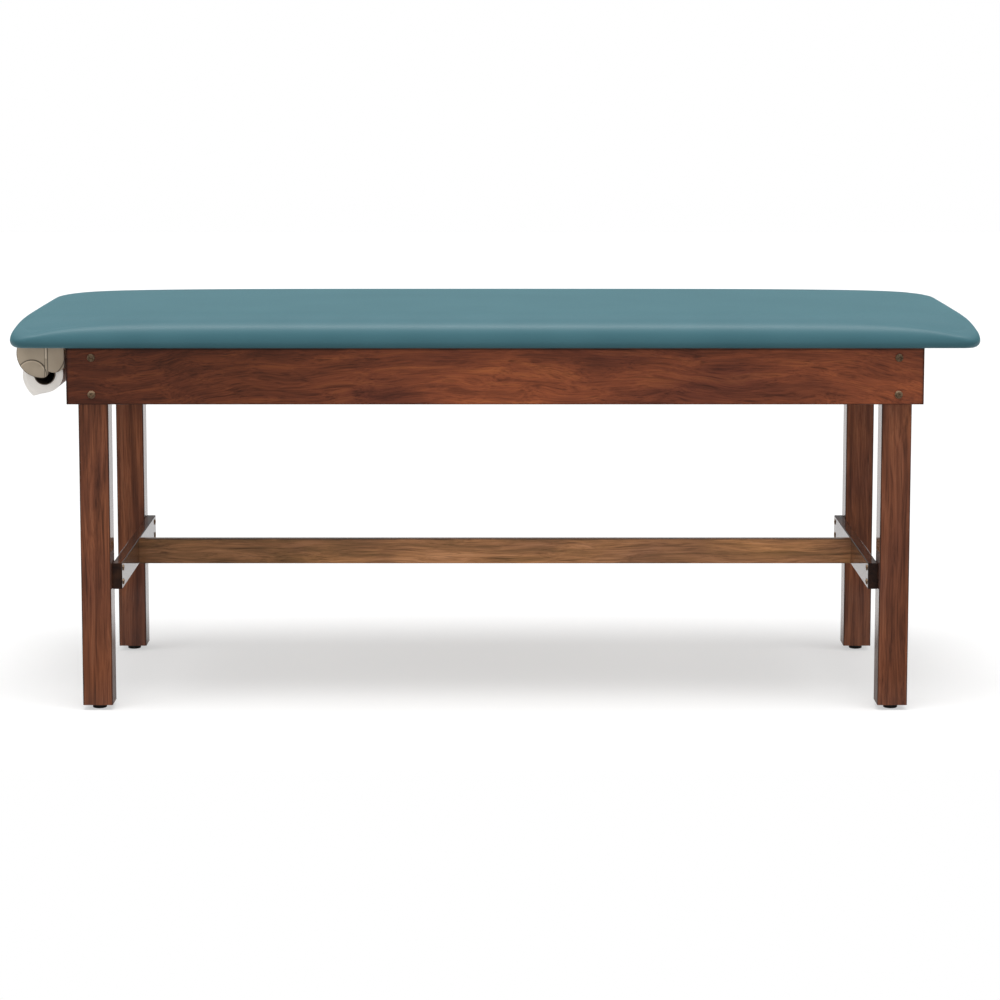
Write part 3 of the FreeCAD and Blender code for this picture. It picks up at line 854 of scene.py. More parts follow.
@dataclass
class Studio:
    """Floor, light and camera at the photograph's angle."""

    camera_place: tuple[float, float, float] = (-0.0028, -5.7744, 1.2902)
    camera_tilt_deg: float = 6.80
    lens_mm: float = 104.94
    sensor_mm: float = 36.0
    shift: tuple[float, float] = (0.0064, -0.12)
    ambient: float = 0.40
    ambient_below: float = 0.62
    horizon: float = 0.1
    front_level: float = 0.13
    back_level: float = 0.20
    wall_turn: float = 0.3
    ceiling_from: float = 0.25
    ceiling_to: float = 0.7
    # Both sides, overhead, and a low fill that only lifts the front and leaves no glare on the lacquer.
    lights: tuple[SoftLight, ...] = (
        SoftLight((-0.75, -0.35, 1.0), 0.40), SoftLight((0.75, -0.35, 1.0), 0.40),
        SoftLight((0.0, -0.20, 1.0), 2.04), SoftLight((0.0, -1.0, 0.04), 1.14, mirrored=False))
    softness_deg: float = 32.0
    floor_tone: str = "#d6d5d5"
    floor_dim: float = 0.08
    floor_dim_to: float = -0.7
    floor_full_from: float = 0.3
    floor_share: float = 0.50
    floor_lift: float = 0.50
    floor_size: tuple[float, float] = (24.0, 13.8)
    floor_middle: float = 6.15

    def build(self) -> None:
        """Set up everything that isn't part of the table."""
        bpy.context.scene.view_settings.view_transform = "Standard"
        self.add_camera()
        self.add_world()
        self.add_lights()
        self.add_floor()
        log.info("studio ready")

    def add_camera(self) -> None:
        """Add the camera."""
        bpy.ops.object.camera_add(location=self.camera_place,
                                  rotation=(math.radians(90 - self.camera_tilt_deg), 0, 0))
        camera = bpy.context.active_object
        camera.data.lens = self.lens_mm
        camera.data.sensor_width = self.sensor_mm
        camera.data.shift_x, camera.data.shift_y = self.shift
        camera.data.clip_end = 100.0
        bpy.context.scene.camera = camera

    def add_world(self) -> None:
        """Add a white backdrop that the camera sees, and an even dim light for the rest.

        Reflections meet white overhead, grey behind the table and a dark room in front of it.
        """
        world = bpy.data.worlds.new("studio")
        bpy.context.scene.world = world
        world.use_nodes = True
        tree = world.node_tree
        tree.nodes.clear()
        rays = add_node(tree, "ShaderNodeLightPath")
        place = add_node(tree, "ShaderNodeTexCoord")
        axes = add_node(tree, "ShaderNodeSeparateXYZ", {"Vector": place.outputs["Generated"]})
        walls = add_node(tree, "ShaderNodeMapRange", {"Value": axes.outputs["Y"]},
                         {"From Min": -self.wall_turn, "From Max": self.wall_turn, "To Min": self.front_level,
                          "To Max": self.back_level}, interpolation_type="SMOOTHSTEP")
        above = add_node(tree, "ShaderNodeMapRange", {"Value": axes.outputs["Z"]},
                         {"From Min": self.ceiling_from, "From Max": self.ceiling_to},
                         interpolation_type="SMOOTHSTEP")
        mirrored = add_node(tree, "ShaderNodeMix",
                            {FACTOR: above.outputs["Result"], NUMBER_A: walls.outputs["Result"]},
                            {NUMBER_B: 1.0}, data_type="FLOAT")
        even = add_node(tree, "ShaderNodeMapRange", {"Value": axes.outputs["Z"]},
                        {"From Min": -self.horizon, "From Max": self.horizon, "To Min": self.ambient_below,
                         "To Max": self.ambient})
        glossy = add_node(tree, "ShaderNodeMix",
                          {FACTOR: rays.outputs["Is Glossy Ray"], NUMBER_A: even.outputs["Result"],
                           NUMBER_B: mirrored.outputs[0]}, data_type="FLOAT")
        seen = add_node(tree, "ShaderNodeMath",
                        {0: rays.outputs["Is Camera Ray"], 1: rays.outputs["Is Transmission Ray"]},
                        operation="MAXIMUM")
        strength = add_node(tree, "ShaderNodeMix", {FACTOR: seen.outputs["Value"], NUMBER_A: glossy.outputs[0]},
                            {NUMBER_B: 1.0}, data_type="FLOAT")
        light = add_node(tree, "ShaderNodeBackground", {"Strength": strength.outputs[0]}, {"Color": (1, 1, 1, 1)})
        add_node(tree, "ShaderNodeOutputWorld", {"Surface": light.outputs["Background"]})

    def add_lights(self) -> None:
        """Hang the soft lights, so that the legs' shadows cross behind."""
        for light in self.lights:
            way = Vector(light.way)
            bpy.ops.object.light_add(type="SUN", location=way * 3, rotation=way.to_track_quat("Z", "Y").to_euler())
            lamp = bpy.context.active_object
            lamp.data.energy = light.strength
            lamp.data.angle = math.radians(self.softness_deg)
            lamp.visible_glossy = light.mirrored

    def add_floor(self) -> None:
        """Lay a pale floor that keeps a light shadow for the camera and runs out into the white backdrop."""
        clear_selection()
        bpy.ops.mesh.primitive_plane_add(size=1.0)
        floor = name_piece("studio_floor")
        floor.data.transform(Matrix.Translation((0, self.floor_middle, 0))
                             @ Matrix.Diagonal((*self.floor_size, 1.0, 1.0)))
        material = bpy.data.materials.new("pale studio floor")
        material.use_nodes = True
        tree = material.node_tree
        tree.nodes.clear()
        rays = add_node(tree, "ShaderNodeLightPath")
        place = add_node(tree, "ShaderNodeTexCoord")
        axes = add_node(tree, "ShaderNodeSeparateXYZ", {"Vector": place.outputs["Object"]})
        # In front of the table the floor throws little light back at it.
        ahead = add_node(tree, "ShaderNodeMapRange", {"Value": axes.outputs["Y"]},
                         {"From Min": self.floor_dim_to, "From Max": self.floor_full_from},
                         interpolation_type="SMOOTHSTEP")
        dim, share = self.floor_dim, self.floor_share
        bounce = add_node(tree, "ShaderNodeMix", {FACTOR: ahead.outputs["Result"]},
                          {COLOUR_A: (dim, dim, dim, 1.0), COLOUR_B: linear(self.floor_tone)}, data_type="RGBA")
        matt = add_node(tree, "ShaderNodeBsdfDiffuse", {"Color": bounce.outputs[COLOUR_OUT]})
        thin = add_node(tree, "ShaderNodeBsdfDiffuse", values={"Color": (share, share, share, 1.0)})
        glow = add_node(tree, "ShaderNodeEmission", values={"Strength": self.floor_lift})
        pale = add_node(tree, "ShaderNodeAddShader", {0: thin.outputs["BSDF"], 1: glow.outputs["Emission"]})
        both = add_node(tree, "ShaderNodeMixShader", {0: rays.outputs["Is Camera Ray"], 1: matt.outputs["BSDF"],
                                                      2: pale.outputs["Shader"]})
        add_node(tree, "ShaderNodeOutputMaterial", {"Surface": both.outputs["Shader"]})
        floor.data.materials.append(material)


@dataclass
class PaddedTop:
    """Foam-padded top in vinyl: crowned, drawn down at its corners and turned under the deck."""

    length: float = 1.829
    width: float = 0.686
    bottom: float = 0.701
    height: float = 0.0602
    roll: float = 0.0135
    edge_inset: float = 0.019
    edge_pull: float = 0.006
    side_rise: float = 0.027
    side_share: float = 0.76
    side_crown: float = 0.012
    side_run: float = 0.0275
    end_crown: float = 0.008
    end_run: float = 0.040
    corner_drop: float = 0.0194
    corner_along: float = 0.148
    corner_along_front: float = 0.092
    corner_across: float = 0.056
    corner_radius_low: float = 0.034
    corner_radius_rim: float = 0.045
    corner_radius_least: float = 0.006
    margin_inset: float = 0.059
    lip: float = 0.00125
    cell: float = 0.0075
    edge_rows: int = 12
    roll_rows: int = 6
    margin_rows: int = 5
    held_share: float = 0.35
    pressure: float = 1.2
    stretch: float = 40.0
    bend: float = 2.0
    quality: int = 4
    frames: int = 8
    swell_cap: float = 0.0012

    def build(self) -> None:
        """Model the top and let its cover swell."""
        piece = self.lay_out()
        for vert in piece.data.vertices:
            vert.co = self.place(vert.co)
        with editing(piece):
            face_outwards()
        self.swell(piece)
        smooth(piece, 60)
        VINYL.put_on(piece)
        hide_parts("upholstered_cover", "foam_slab")
        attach(piece, "table")
        log.info("padded top: %d faces", len(piece.data.polygons))

    def profile(self, rim_height: float, slope: float) -> list[tuple[float, float, float]]:
        """List the side's profile from the rim of the crown down and under.

        The edge runs on from the crown's slope, bends over to an upright side and rolls under to the margin.

        Args:
            rim_height: height of the rim over the underside.
            slope: fall of the crown at the rim, straight outwards.

        Returns:
            (inset from the widest line, height over the underside, corner radius) of each row.
        """
        fold = max(rim_height - slope * self.edge_pull, self.roll * 1.05)
        brow = self.roll + min(self.side_rise, self.side_share * (rim_height - self.roll))
        rows = []
        for step in range(self.edge_rows):
            share = step / (self.edge_rows - 1)
            left = 1 - share
            inset = left ** 3 * self.edge_inset + 3 * left ** 2 * share * (self.edge_inset - self.edge_pull)
            height = (left ** 3 * rim_height + 3 * left ** 2 * share * fold + 3 * left * share ** 2 * brow
                      + share ** 3 * self.roll)
            rows.append((inset, height))
        for step in range(1, self.roll_rows + 1):
            angle = QUARTER_TURN * step / self.roll_rows
            rows.append((self.roll * (1 - math.cos(angle)), self.roll * (1 - math.sin(angle))))
        for step in range(1, self.margin_rows + 1):
            rows.append((self.roll + (self.margin_inset - self.roll) * step / self.margin_rows, 0.0))
        rows.append((self.margin_inset, self.lip))
        made = []
        for inset, height in rows:
            climb = min(max((height - self.roll) / (rim_height - self.roll), 0.0), 1.0)
            radius = self.corner_radius_low + (self.corner_radius_rim - self.corner_radius_low) * climb
            made.append((inset, height, max(radius - (inset if climb == 0 else 0.0), self.corner_radius_least)))
        return made

    def lay_out(self) -> bpy.types.Object:
        """Lay out a flat grid for the crown and extrude its border once for each row of the side.

        Returns:
            The piece, on a grid from -1 to 1 with its rows counted down in Z.
        """
        clear_selection()
        bpy.ops.mesh.primitive_grid_add(x_subdivisions=round(self.length / self.cell),
                                        y_subdivisions=round(self.width / self.cell), size=2.0)
        piece = name_piece("padded_top")
        with editing(piece):
            pick(piece, Element.EDGE, lambda edge: edge.is_boundary)
            for _ in self.profile(self.height, 0.0)[1:]:
                bpy.ops.mesh.extrude_region_move(TRANSFORM_OT_translate={"value": (0.0, 0.0, -1.0)})
            bpy.ops.mesh.edge_face_add()
        return piece

    def crown_height(self, x: float, y: float) -> tuple[float, float, float]:
        """Work out the crown at a point in plan.

        Args:
            x: place along the table.
            y: place across the table.

        Returns:
            Its height over the underside, and its fall towards the end and towards the side.
        """
        from_end = max(self.length / 2 - self.edge_inset - abs(x), 0.0)
        from_side = max(self.width / 2 - self.edge_inset - abs(y), 0.0)
        end = self.end_crown * math.exp(-from_end / self.end_run)
        side = self.side_crown * math.exp(-from_side / self.side_run)
        along = self.corner_along if y > 0 else self.corner_along_front
        corner = self.corner_drop * math.exp(-from_end / along - from_side / self.corner_across)
        return (self.height - end - side - corner, end / self.end_run + corner / along,
                side / self.side_run + corner / self.corner_across)

    def round_corner(self, x: float, y: float, half_x: float, half_y: float, radius: float) -> tuple[float, float]:
        """Carry a point of a square-cornered rectangle over to the same one with round corners.

        Args:
            x: place along the table.
            y: place across the table.
            half_x: half of the rectangle's length.
            half_y: half of its width.
            radius: radius of its corners.

        Returns:
            The moved place.
        """
        across = (abs(x) - (half_x - radius)) / radius
        down = (abs(y) - (half_y - radius)) / radius
        if across <= 0 or down <= 0:
            return x, y
        new_x = half_x - radius + radius * across * math.sqrt(1 - down * down / 2)
        new_y = half_y - radius + radius * down * math.sqrt(1 - across * across / 2)
        return math.copysign(new_x, x), math.copysign(new_y, y)

    def place(self, flat: Vector) -> Vector:
        """Find where a vertex of the laid-out grid goes.

        Args:
            flat: its place on the grid from -1 to 1, with its row counted down in Z.

        Returns:
            Its place on the top.
        """
        row = round(-flat.z)
        bend = self.corner_radius_rim
        half_x, half_y = self.length / 2 - self.edge_inset, self.width / 2 - self.edge_inset
        x, y = self.round_corner(flat.x * half_x, flat.y * half_y, half_x, half_y, bend)
        rim_height, end_fall, side_fall = self.crown_height(x, y)
        if row == 0:
            return Vector((x, y, self.bottom + rim_height))
        outward = Vector((max(abs(x) - half_x + bend, 0.0), max(abs(y) - half_y + bend, 0.0))).normalized()
        inset, height, radius = self.profile(rim_height, end_fall * outward.x + side_fall * outward.y)[row]
        half_x, half_y = self.length / 2 - inset, self.width / 2 - inset
        x, y = self.round_corner(flat.x * half_x, flat.y * half_y, half_x, half_y, radius)
        return Vector((x, y, self.bottom + height))

    def swell(self, piece: bpy.types.Object) -> None:
        """Let the foam's pressure swell the cover a little against its stapled margin.

        Args:
            piece: the top, already in its form.
        """
        start = [vert.co.copy() for vert in piece.data.vertices]
        held = piece.vertex_groups.new(name="stapled")
        level = self.bottom + self.held_share * self.roll
        held.add([i for i, place in enumerate(start) if place.z < level], 1.0, "REPLACE")
        only(piece)
        cloth = piece.modifiers.new("cover", "CLOTH")
        cloth.settings.quality = self.quality
        cloth.settings.use_pressure = True
        cloth.settings.uniform_pressure_force = self.pressure
        cloth.settings.tension_stiffness = self.stretch
        cloth.settings.compression_stiffness = self.stretch
        cloth.settings.bending_stiffness = self.bend
        cloth.settings.vertex_group_mass = held.name
        cloth.settings.effector_weights.gravity = 0.0
        cloth.point_cache.frame_start, cloth.point_cache.frame_end = 1, self.frames
        scene = bpy.context.scene
        for frame in range(1, self.frames + 1):
            scene.frame_set(frame)
        bpy.ops.object.modifier_apply(modifier=cloth.name)
        moves = [vert.co - first for vert, first in zip(piece.data.vertices, start)]
        log.info("cover swells by up to %.1f mm before it is held back", max(move.length for move in moves) / MM)
        for vert, first, move in zip(piece.data.vertices, start, moves):
            # The foam only gives a little, and less towards the margin.
            share = min(max(first.z - self.bottom, 0.0) / (2 * self.roll), 1.0)
            vert.co = first + move * (share * self.swell_cap / max(move.length, self.swell_cap))
        scene.frame_set(1)
        piece.vertex_groups.clear()


@dataclass
class CoverStaples:
    """Staples that hold the cover's turned-under margin to the deck."""

    crown: float = 0.011
    wire: float = 0.0011
    pitch: float = 0.046
    inset: float = 0.046
    corner_gap: float = 0.06
    level: float = 0.701

    def build(self, half_x: float, half_y: float) -> None:
        """Model one staple and set it all round the margin.

        Args:
            half_x: half of the top's length.
            half_y: half of its width.
        """
        along, across = half_x - self.inset, half_y - self.inset
        places = []
        for run, off, turn in ((along, across, 0.0), (across, along, QUARTER_TURN)):
            reach = run - self.corner_gap
            count = int(2 * reach / self.pitch)
            for side in SIDES.values():
                places += [Matrix.Rotation(turn, 4, "Z")
                           @ Matrix.Translation((2 * reach * step / count - reach, side * off, self.level))
                           for step in range(count + 1)]
        piece = copies(self.staple(), places, "cover_staples")
        ZINC.put_on(piece)
        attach(piece, "table")
        log.info("cover staples: %d", len(places))

    def staple(self) -> bpy.types.Object:
        """Model one staple's crown at the origin, its outer face down and eased.

        Returns:
            The staple.
        """
        clear_selection()
        bpy.ops.mesh.primitive_cube_add(size=1.0)
        staple = name_piece("staple")
        staple.data.transform(Matrix.Diagonal((self.crown, self.wire, self.wire * 0.6, 1.0)))
        with editing(staple):
            pick(staple, Element.FACE, lambda face: face.normal.z > 0.9)
            bpy.ops.mesh.inset(thickness=self.wire * 0.2)
            pick(staple, Element.EDGE, lambda edge: all(v.co.z < 0 for v in edge.verts)
                 and abs(edge.verts[0].co.y - edge.verts[1].co.y) < 1e-6)
            bpy.ops.mesh.bevel(offset=self.wire * 0.25, segments=1)
        return staple


@dataclass(frozen=True)
class ConnectorBolt:
    """Bronzed connector bolt with a domed head and a hex socket."""

    head_radius: float = 0.0075
    head_height: float = 0.003
    head_edge: float = 0.0011
    rim: float = 0.0024
    dome: float = 0.0007
    socket_radius: float = 0.0034
    socket_depth: float = 0.002
    shank_radius: float = 0.003
    shank: float = 0.045
    sides: int = 40

    def master(self) -> bpy.types.Object:
        """Model one bolt at the origin, its head up and seated at zero.

        Returns:
            The bolt.
        """
        clear_selection()
        bpy.ops.mesh.primitive_cylinder_add(vertices=self.sides, radius=self.head_radius, depth=self.head_height,
                                            location=(0, 0, self.head_height / 2))
        bpy.ops.object.transform_apply(location=True)
        bolt = name_piece("bolt")
        with editing(bolt):
            pick(bolt, Element.EDGE, lambda edge: all(v.co.z > 0.9 * self.head_height for v in edge.verts))
            bpy.ops.mesh.bevel(offset=self.head_edge, segments=3, affect="EDGES")
            pick(bolt, Element.FACE, lambda face: face.normal.z > 0.99)
            bpy.ops.mesh.inset(thickness=self.rim)
            bpy.ops.transform.translate(value=(0, 0, self.dome))
            if self.shank:
                pick(bolt, Element.FACE, lambda face: face.normal.z < -0.99)
                bpy.ops.mesh.inset(thickness=self.head_radius - self.shank_radius)
                bpy.ops.mesh.extrude_region_move(TRANSFORM_OT_translate={"value": (0, 0, -self.shank)})
        clear_selection()
        bpy.ops.mesh.primitive_cylinder_add(vertices=6, radius=self.socket_radius, depth=2 * self.socket_depth,
                                            location=(0, 0, self.head_height + self.dome))
        bpy.ops.object.transform_apply(location=True)
        cutter = name_piece("socket_cutter")
        apply_modifier(bolt, "BOOLEAN", operation="DIFFERENCE", object=cutter, solver="EXACT")
        bpy.data.objects.remove(cutter)
        return bolt

    def fit(self, name: str, seats: list[tuple[Vector, Vector]]) -> bpy.types.Object:
        """Put bolts on seats.

        Args:
            name: name of the joined piece.
            seats: points under the heads and the directions that the heads face.

        Returns:
            The bolts as one piece.
        """
        piece = copies(self.master(), [facing(point, way) for point, way in seats], name)
        smooth(piece, 28)
        BRONZED.put_on(piece)
        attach(piece, "table")
        log.info("%s: %d bolts", name, len(seats))
        return piece


@dataclass
class TimberFrame:
    """Aprons, legs and brace of lacquered hardwood, with their bolts, battens and deck."""

    nodes: dict[str, bpy.types.Object]
    leg_x: float = 0.761
    leg_y: float = 0.2725
    bolt_levels: tuple[float, float] = (0.612, 0.682)
    rail_levels: tuple[float, float] = (0.2435, 0.2705)
    apron_face: float = 0.320
    rail_inner: float = 0.7135
    rail_outer: float = 0.7325
    rail_bolt_y: float = 0.26175
    apron_bolt: ConnectorBolt = ConnectorBolt()
    brace_bolt: ConnectorBolt = ConnectorBolt(head_radius=0.0057, head_height=0.0016, dome=0.0004,
                                              socket_depth=0.0015, shank=0.0)

    def dress(self) -> None:
        """Give every board of the frame its finish and add the bolts."""
        LEG_WOOD.put_on(*(self.nodes["leg_" + leg] for leg in LEGS))
        APRON_WOOD.put_on(*(self.nodes["side_apron_" + side] for side in SIDES))
        CROSS_APRON_WOOD.put_on(*(self.nodes["end_apron_" + end] for end in ENDS))
        RAIL_WOOD.put_on(*(self.nodes["brace_rail_" + end] for end in ENDS))
        STRETCHER_WOOD.put_on(self.nodes["brace_stretcher"])
        BATTEN_ALONG.put_on(*(self.nodes["deck_cleat_" + side] for side in SIDES))
        BATTEN_ACROSS.put_on(self.nodes["cross_rail"])
        DECK_PLY.put_on(self.nodes["top_deck"])
        log.info("frame boards dressed")
        self.add_bolts()

    def add_bolts(self) -> None:
        """Fit the bolts of the aprons and the brace."""
        for side, sy in SIDES.items():
            seats = [(Vector((sx * self.leg_x, sy * self.apron_face, level)), Vector((0, sy, 0)))
                     for sx in ENDS.values() for level in self.bolt_levels]
            piece = self.apron_bolt.fit("connector_bolts_" + side, seats)
            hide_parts("apron_bolts_" + side)
        inner = [(Vector((sx * self.rail_inner, sy * self.rail_bolt_y, level)), Vector((-sx, 0, 0)))
                 for sx, sy in LEGS.values() for level in self.rail_levels]
        outer = [(Vector((sx * self.rail_outer, 0, level)), Vector((sx, 0, 0)))
                 for sx in ENDS.values() for level in self.rail_levels]
        self.brace_bolt.fit("brace_bolts", inner + outer)


@dataclass
class LevellingGlide:
    """Black nylon foot on a threaded stud."""

    place: tuple[float, float]
    height: float = 0.0097
    radius: float = 0.0135
    edge: float = 0.0016
    dish_inset: float = 0.003
    dish_depth: float = 0.0008
    stud_radius: float = 0.004
    stud_seat: float = 0.0009
    stud_top: float = 0.042
    stud_spare: float = 0.001
    thread_pitch: float = 0.00125
    thread_depth: float = 0.0007

    def build(self, leg: str) -> None:
        """Model the foot and its stud for one leg.

        Args:
            leg: name of the leg it screws into.
        """
        x, y = self.place
        clear_selection()
        bpy.ops.mesh.primitive_cylinder_add(vertices=48, radius=self.radius, depth=self.height,
                                            location=(x, y, self.height / 2))
        bpy.ops.object.transform_apply(location=True)
        foot = name_piece("glide_foot_" + leg)
        with editing(foot):
            pick(foot, Element.EDGE, lambda edge: all(v.co.z < 0.1 * self.height for v in edge.verts)
                 or all(v.co.z > 0.9 * self.height for v in edge.verts))
            bpy.ops.mesh.bevel(offset=self.edge, segments=3, affect="EDGES")
            pick(foot, Element.FACE, lambda face: face.normal.z > 0.99)
            bpy.ops.mesh.inset(thickness=self.dish_inset)
            bpy.ops.mesh.extrude_region_move(TRANSFORM_OT_translate={"value": (0, 0, -self.dish_depth)})
        smooth(foot, 40)
        GLIDE_NYLON.put_on(foot)
        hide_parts("glide_" + leg)
        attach(foot, "glide_body_" + leg)
        stud = self.stud(leg)
        ZINC.put_on(stud)
        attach(stud, "glide_body_" + leg)
        log.info("glide %s", leg)

    def stud(self, leg: str) -> bpy.types.Object:
        """Model the threaded stud, turned down by one ring for each turn of its thread.

        Args:
            leg: name of the leg it screws into.

        Returns:
            The stud.
        """
        x, y = self.place
        start = self.height - self.stud_seat
        turns = int((self.stud_top - start - self.stud_spare) / self.thread_pitch)
        root = 1 - self.thread_depth / self.stud_radius
        clear_selection()
        bpy.ops.mesh.primitive_circle_add(vertices=20, radius=self.stud_radius, location=(x, y, start))
        bpy.ops.object.transform_apply(location=True)
        stud = name_piece("glide_stud_" + leg)
        with editing(stud):
            bpy.ops.mesh.select_mode(type="EDGE")
            bpy.ops.mesh.select_all(action="SELECT")
            for scale in (root, 1 / root) * turns:
                bpy.ops.mesh.extrude_region_move(TRANSFORM_OT_translate={"value": (0, 0, self.thread_pitch / 2)})
                bpy.ops.transform.resize(value=(scale, scale, 1.0), center_override=(x, y, start))
            bpy.ops.mesh.edge_face_add()
            pick(stud, Element.EDGE, lambda edge: edge.is_boundary)
            bpy.ops.mesh.edge_face_add()
            face_outwards()
        return stud


@dataclass
class PaperHolder:
    """Paper roll on its board core between two moulded cheeks, with its loose end hanging.

    The belly and the tuck of the loose end are (degrees round the roll's axis, radius).
    """

    nodes: dict[str, bpy.types.Object]
    axis_x: float = -0.863
    axis_z: float = 0.640
    width: float = 0.457
    radius: float = 0.0355
    bore: float = 0.02055
    layers: int = 9
    creep: float = 0.0006
    belly: tuple[tuple[float, float], ...] = (
        (90, 0.0357), (108, 0.0358), (126, 0.0365), (150, 0.0394), (176, 0.0416), (205, 0.0426), (226, 0.0444),
        (242, 0.0470))
    tuck: tuple[tuple[float, float], ...] = ((242, 0.0470), (250, 0.0420), (261, 0.0378), (276, 0.0358))
    fold: float = 0.82
    seat: float = 0.0357
    turns_from: float = 0.2
    turns_run: float = 0.78
    turns_radius: float = 0.0356
    turns_gap: float = 0.0004
    turns_slip: float = 0.0005
    turns_layers: int = 7
    sheet: float = 0.0002
    sheet_wave: float = 0.0006
    sheet_free: float = 0.005
    cheek_edge: float = 0.0008
    bead_size: tuple[float, float, float] = (0.0042, 0.0030, 0.0230)
    bead_place: tuple[float, float, float] = (-0.8570, 0.2460, 0.6848)
    bead_edge: float = 0.0013
    bead_toe_inset: float = 0.0006
    bead_toe: float = 0.0012
    screw_radius: float = 0.0038
    screw_height: float = 0.0024
    screw_edge: float = 0.0009
    screw_slot: tuple[float, float, float] = (0.0046, 0.0009, 0.0018)
    screw_x: tuple[float, float] = (-0.026, 0.022)
    screw_y: float = 0.2515
    flange_level: float = 0.697

    def build(self) -> None:
        """Model and dress the roll, its loose turns and free end, and the cheeks."""
        paper = SmoothPaper("calendered paper roll", axis_x=self.axis_x, axis_z=self.axis_z, wound=True)
        roll = self.wound_roll(paper)
        self.loose_turns(paper)
        self.loose_end()
        CORE_BOARD.put_on(self.nodes["roll_core"])
        for side in SIDES:
            self.cheek(side)
        self.beads()
        self.screws()

    def spot(self, angle: float, radius: float, y: float) -> Vector:
        """Place at an angle and a radius round the roll's axis."""
        return Vector((self.axis_x + radius * math.cos(angle), y, self.axis_z + radius * math.sin(angle)))

    def wound_roll(self, paper: SmoothPaper) -> bpy.types.Object:
        """Model the roll with its layers standing a little uneven at the ends.

        Args:
            paper: finish of the wound paper.

        Returns:
            The roll.
        """
        clear_selection()
        bpy.ops.mesh.primitive_cylinder_add(vertices=96, radius=self.radius, depth=self.width)
        roll = name_piece("wound_paper_roll")
        with editing(roll):
            for end in ENDS.values():
                pick(roll, Element.FACE, lambda face: face.normal.z * end > 0.99)
                for step in range(self.layers):
                    bpy.ops.mesh.inset(thickness=(self.radius - self.bore) / self.layers)
                    # An uneven beat, so that no two layers stand alike.
                    creep = self.creep * math.sin(2.3 * step + end)
                    bpy.ops.transform.translate(value=(0, 0, -abs(creep) * end))
            pick(roll, Element.FACE, lambda face: len(face.verts) > 8)
            bpy.ops.mesh.bridge_edge_loops()
            face_outwards()
        roll.data.transform(Matrix.Translation((self.axis_x, 0, self.axis_z))
                            @ Matrix.Rotation(QUARTER_TURN, 4, "X"))
        smooth(roll, 30)
        paper.put_on(roll)
        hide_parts("paper_roll")
        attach(roll, "roll")
        log.info("paper roll: %d faces", len(roll.data.polygons))
        return roll

    def loose_line(self, share: float) -> tuple[float, float]:
        """Follow the loose end from the roll's top over its belly and the sharp fold to where it tucks under.

        Args:
            share: share of the way, from 0 to 1.

        Returns:
            Angle round the roll's axis, and radius.
        """
        if share < self.fold:
            stops, way = self.belly, share / self.fold
        else:
            stops, way = self.tuck, (share - self.fold) / (1 - self.fold)
        last = len(stops) - 1
        index = min(int(way * last), last - 1)
        part = way * last - index
        near = [stops[min(max(index + step, 0), last)] for step in (-1, 0, 1, 2)]
        angle, radius = (0.5 * (2 * b + (c - a) * part + (2 * a - 5 * b + 4 * c - d) * part ** 2
                                + (3 * b - a - 3 * c + d) * part ** 3) for a, b, c, d in zip(*near))
        return math.radians(angle), max(radius, self.seat)

    def loose_turns(self, paper: SmoothPaper) -> None:
        """Model the outer turns that have slipped loose and fill the belly under the free end.

        Args:
            paper: finish of the wound paper.
        """
        clear_selection()
        bpy.ops.mesh.primitive_grid_add(x_subdivisions=80, y_subdivisions=self.turns_layers, size=2.0)
        turns = name_piece("loose_paper_turns")
        for vert in turns.data.vertices:
            angle, outer = self.loose_line(self.turns_from + self.turns_run * (vert.co.x + 1) / 2)
            share = (vert.co.y + 1) / 2
            layer = round(share * self.turns_layers)
            slip = self.turns_slip * noise.noise(Vector((layer * 1.7, 0.3, 0.0)))
            vert.co = self.spot(angle, self.turns_radius + (outer - self.turns_gap - self.turns_radius) * share,
                                slip - self.width / 2 + self.turns_gap)
        with editing(turns):
            bpy.ops.mesh.select_all(action="SELECT")
            bpy.ops.mesh.extrude_region_move(
                TRANSFORM_OT_translate={"value": (0, self.width - 2 * self.turns_gap, 0)})
            face_outwards()
        smooth(turns, 30)
        paper.put_on(turns)
        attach(turns, "roll")
        log.info("loose paper turns: %d faces", len(turns.data.polygons))

    def loose_end(self) -> None:
        """Model the sheet's loose end, which leaves the roll, bellies out and tucks back under it.
        """
        rows, columns = 96, 40
        clear_selection()
        bpy.ops.mesh.primitive_grid_add(x_subdivisions=rows, y_subdivisions=columns, size=2.0)
        tail = name_piece("loose_paper_end")
        line = [self.loose_line(row / rows) for row in range(rows + 1)]
        for vert in tail.data.vertices:
            row = round((vert.co.x + 1) / 2 * rows)
            y = vert.co.y * self.width / 2
            angle, radius = line[row]
            wave = self.sheet_wave * noise.noise(Vector((6 * row / rows, y * 14, 3.0)))
            vert.co = self.spot(angle, radius + wave * min((radius - self.seat) / self.sheet_free, 1.0), y)
        apply_modifier(tail, "SOLIDIFY", thickness=self.sheet, offset=1.0)
        smooth(tail, 40)
        SHEET_PAPER.put_on(tail)
        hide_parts("paper_tail")
        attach(tail, "roll")

    def cheek(self, side: str) -> None:
        """Round off the moulded cheek's edges on a copy of its piece of the frame.

        Args:
            side: which of the two cheeks.
        """
        only(self.nodes["roll_cheek_" + side])
        bpy.ops.object.duplicate()
        cheek = name_piece("moulded_cheek_" + side)
        cheek.parent = None
        with editing(cheek):
            bpy.ops.mesh.select_all(action="SELECT")
            bpy.ops.mesh.remove_doubles(threshold=0.02 * MM)
            bpy.ops.mesh.dissolve_limited(angle_limit=math.radians(1.0))
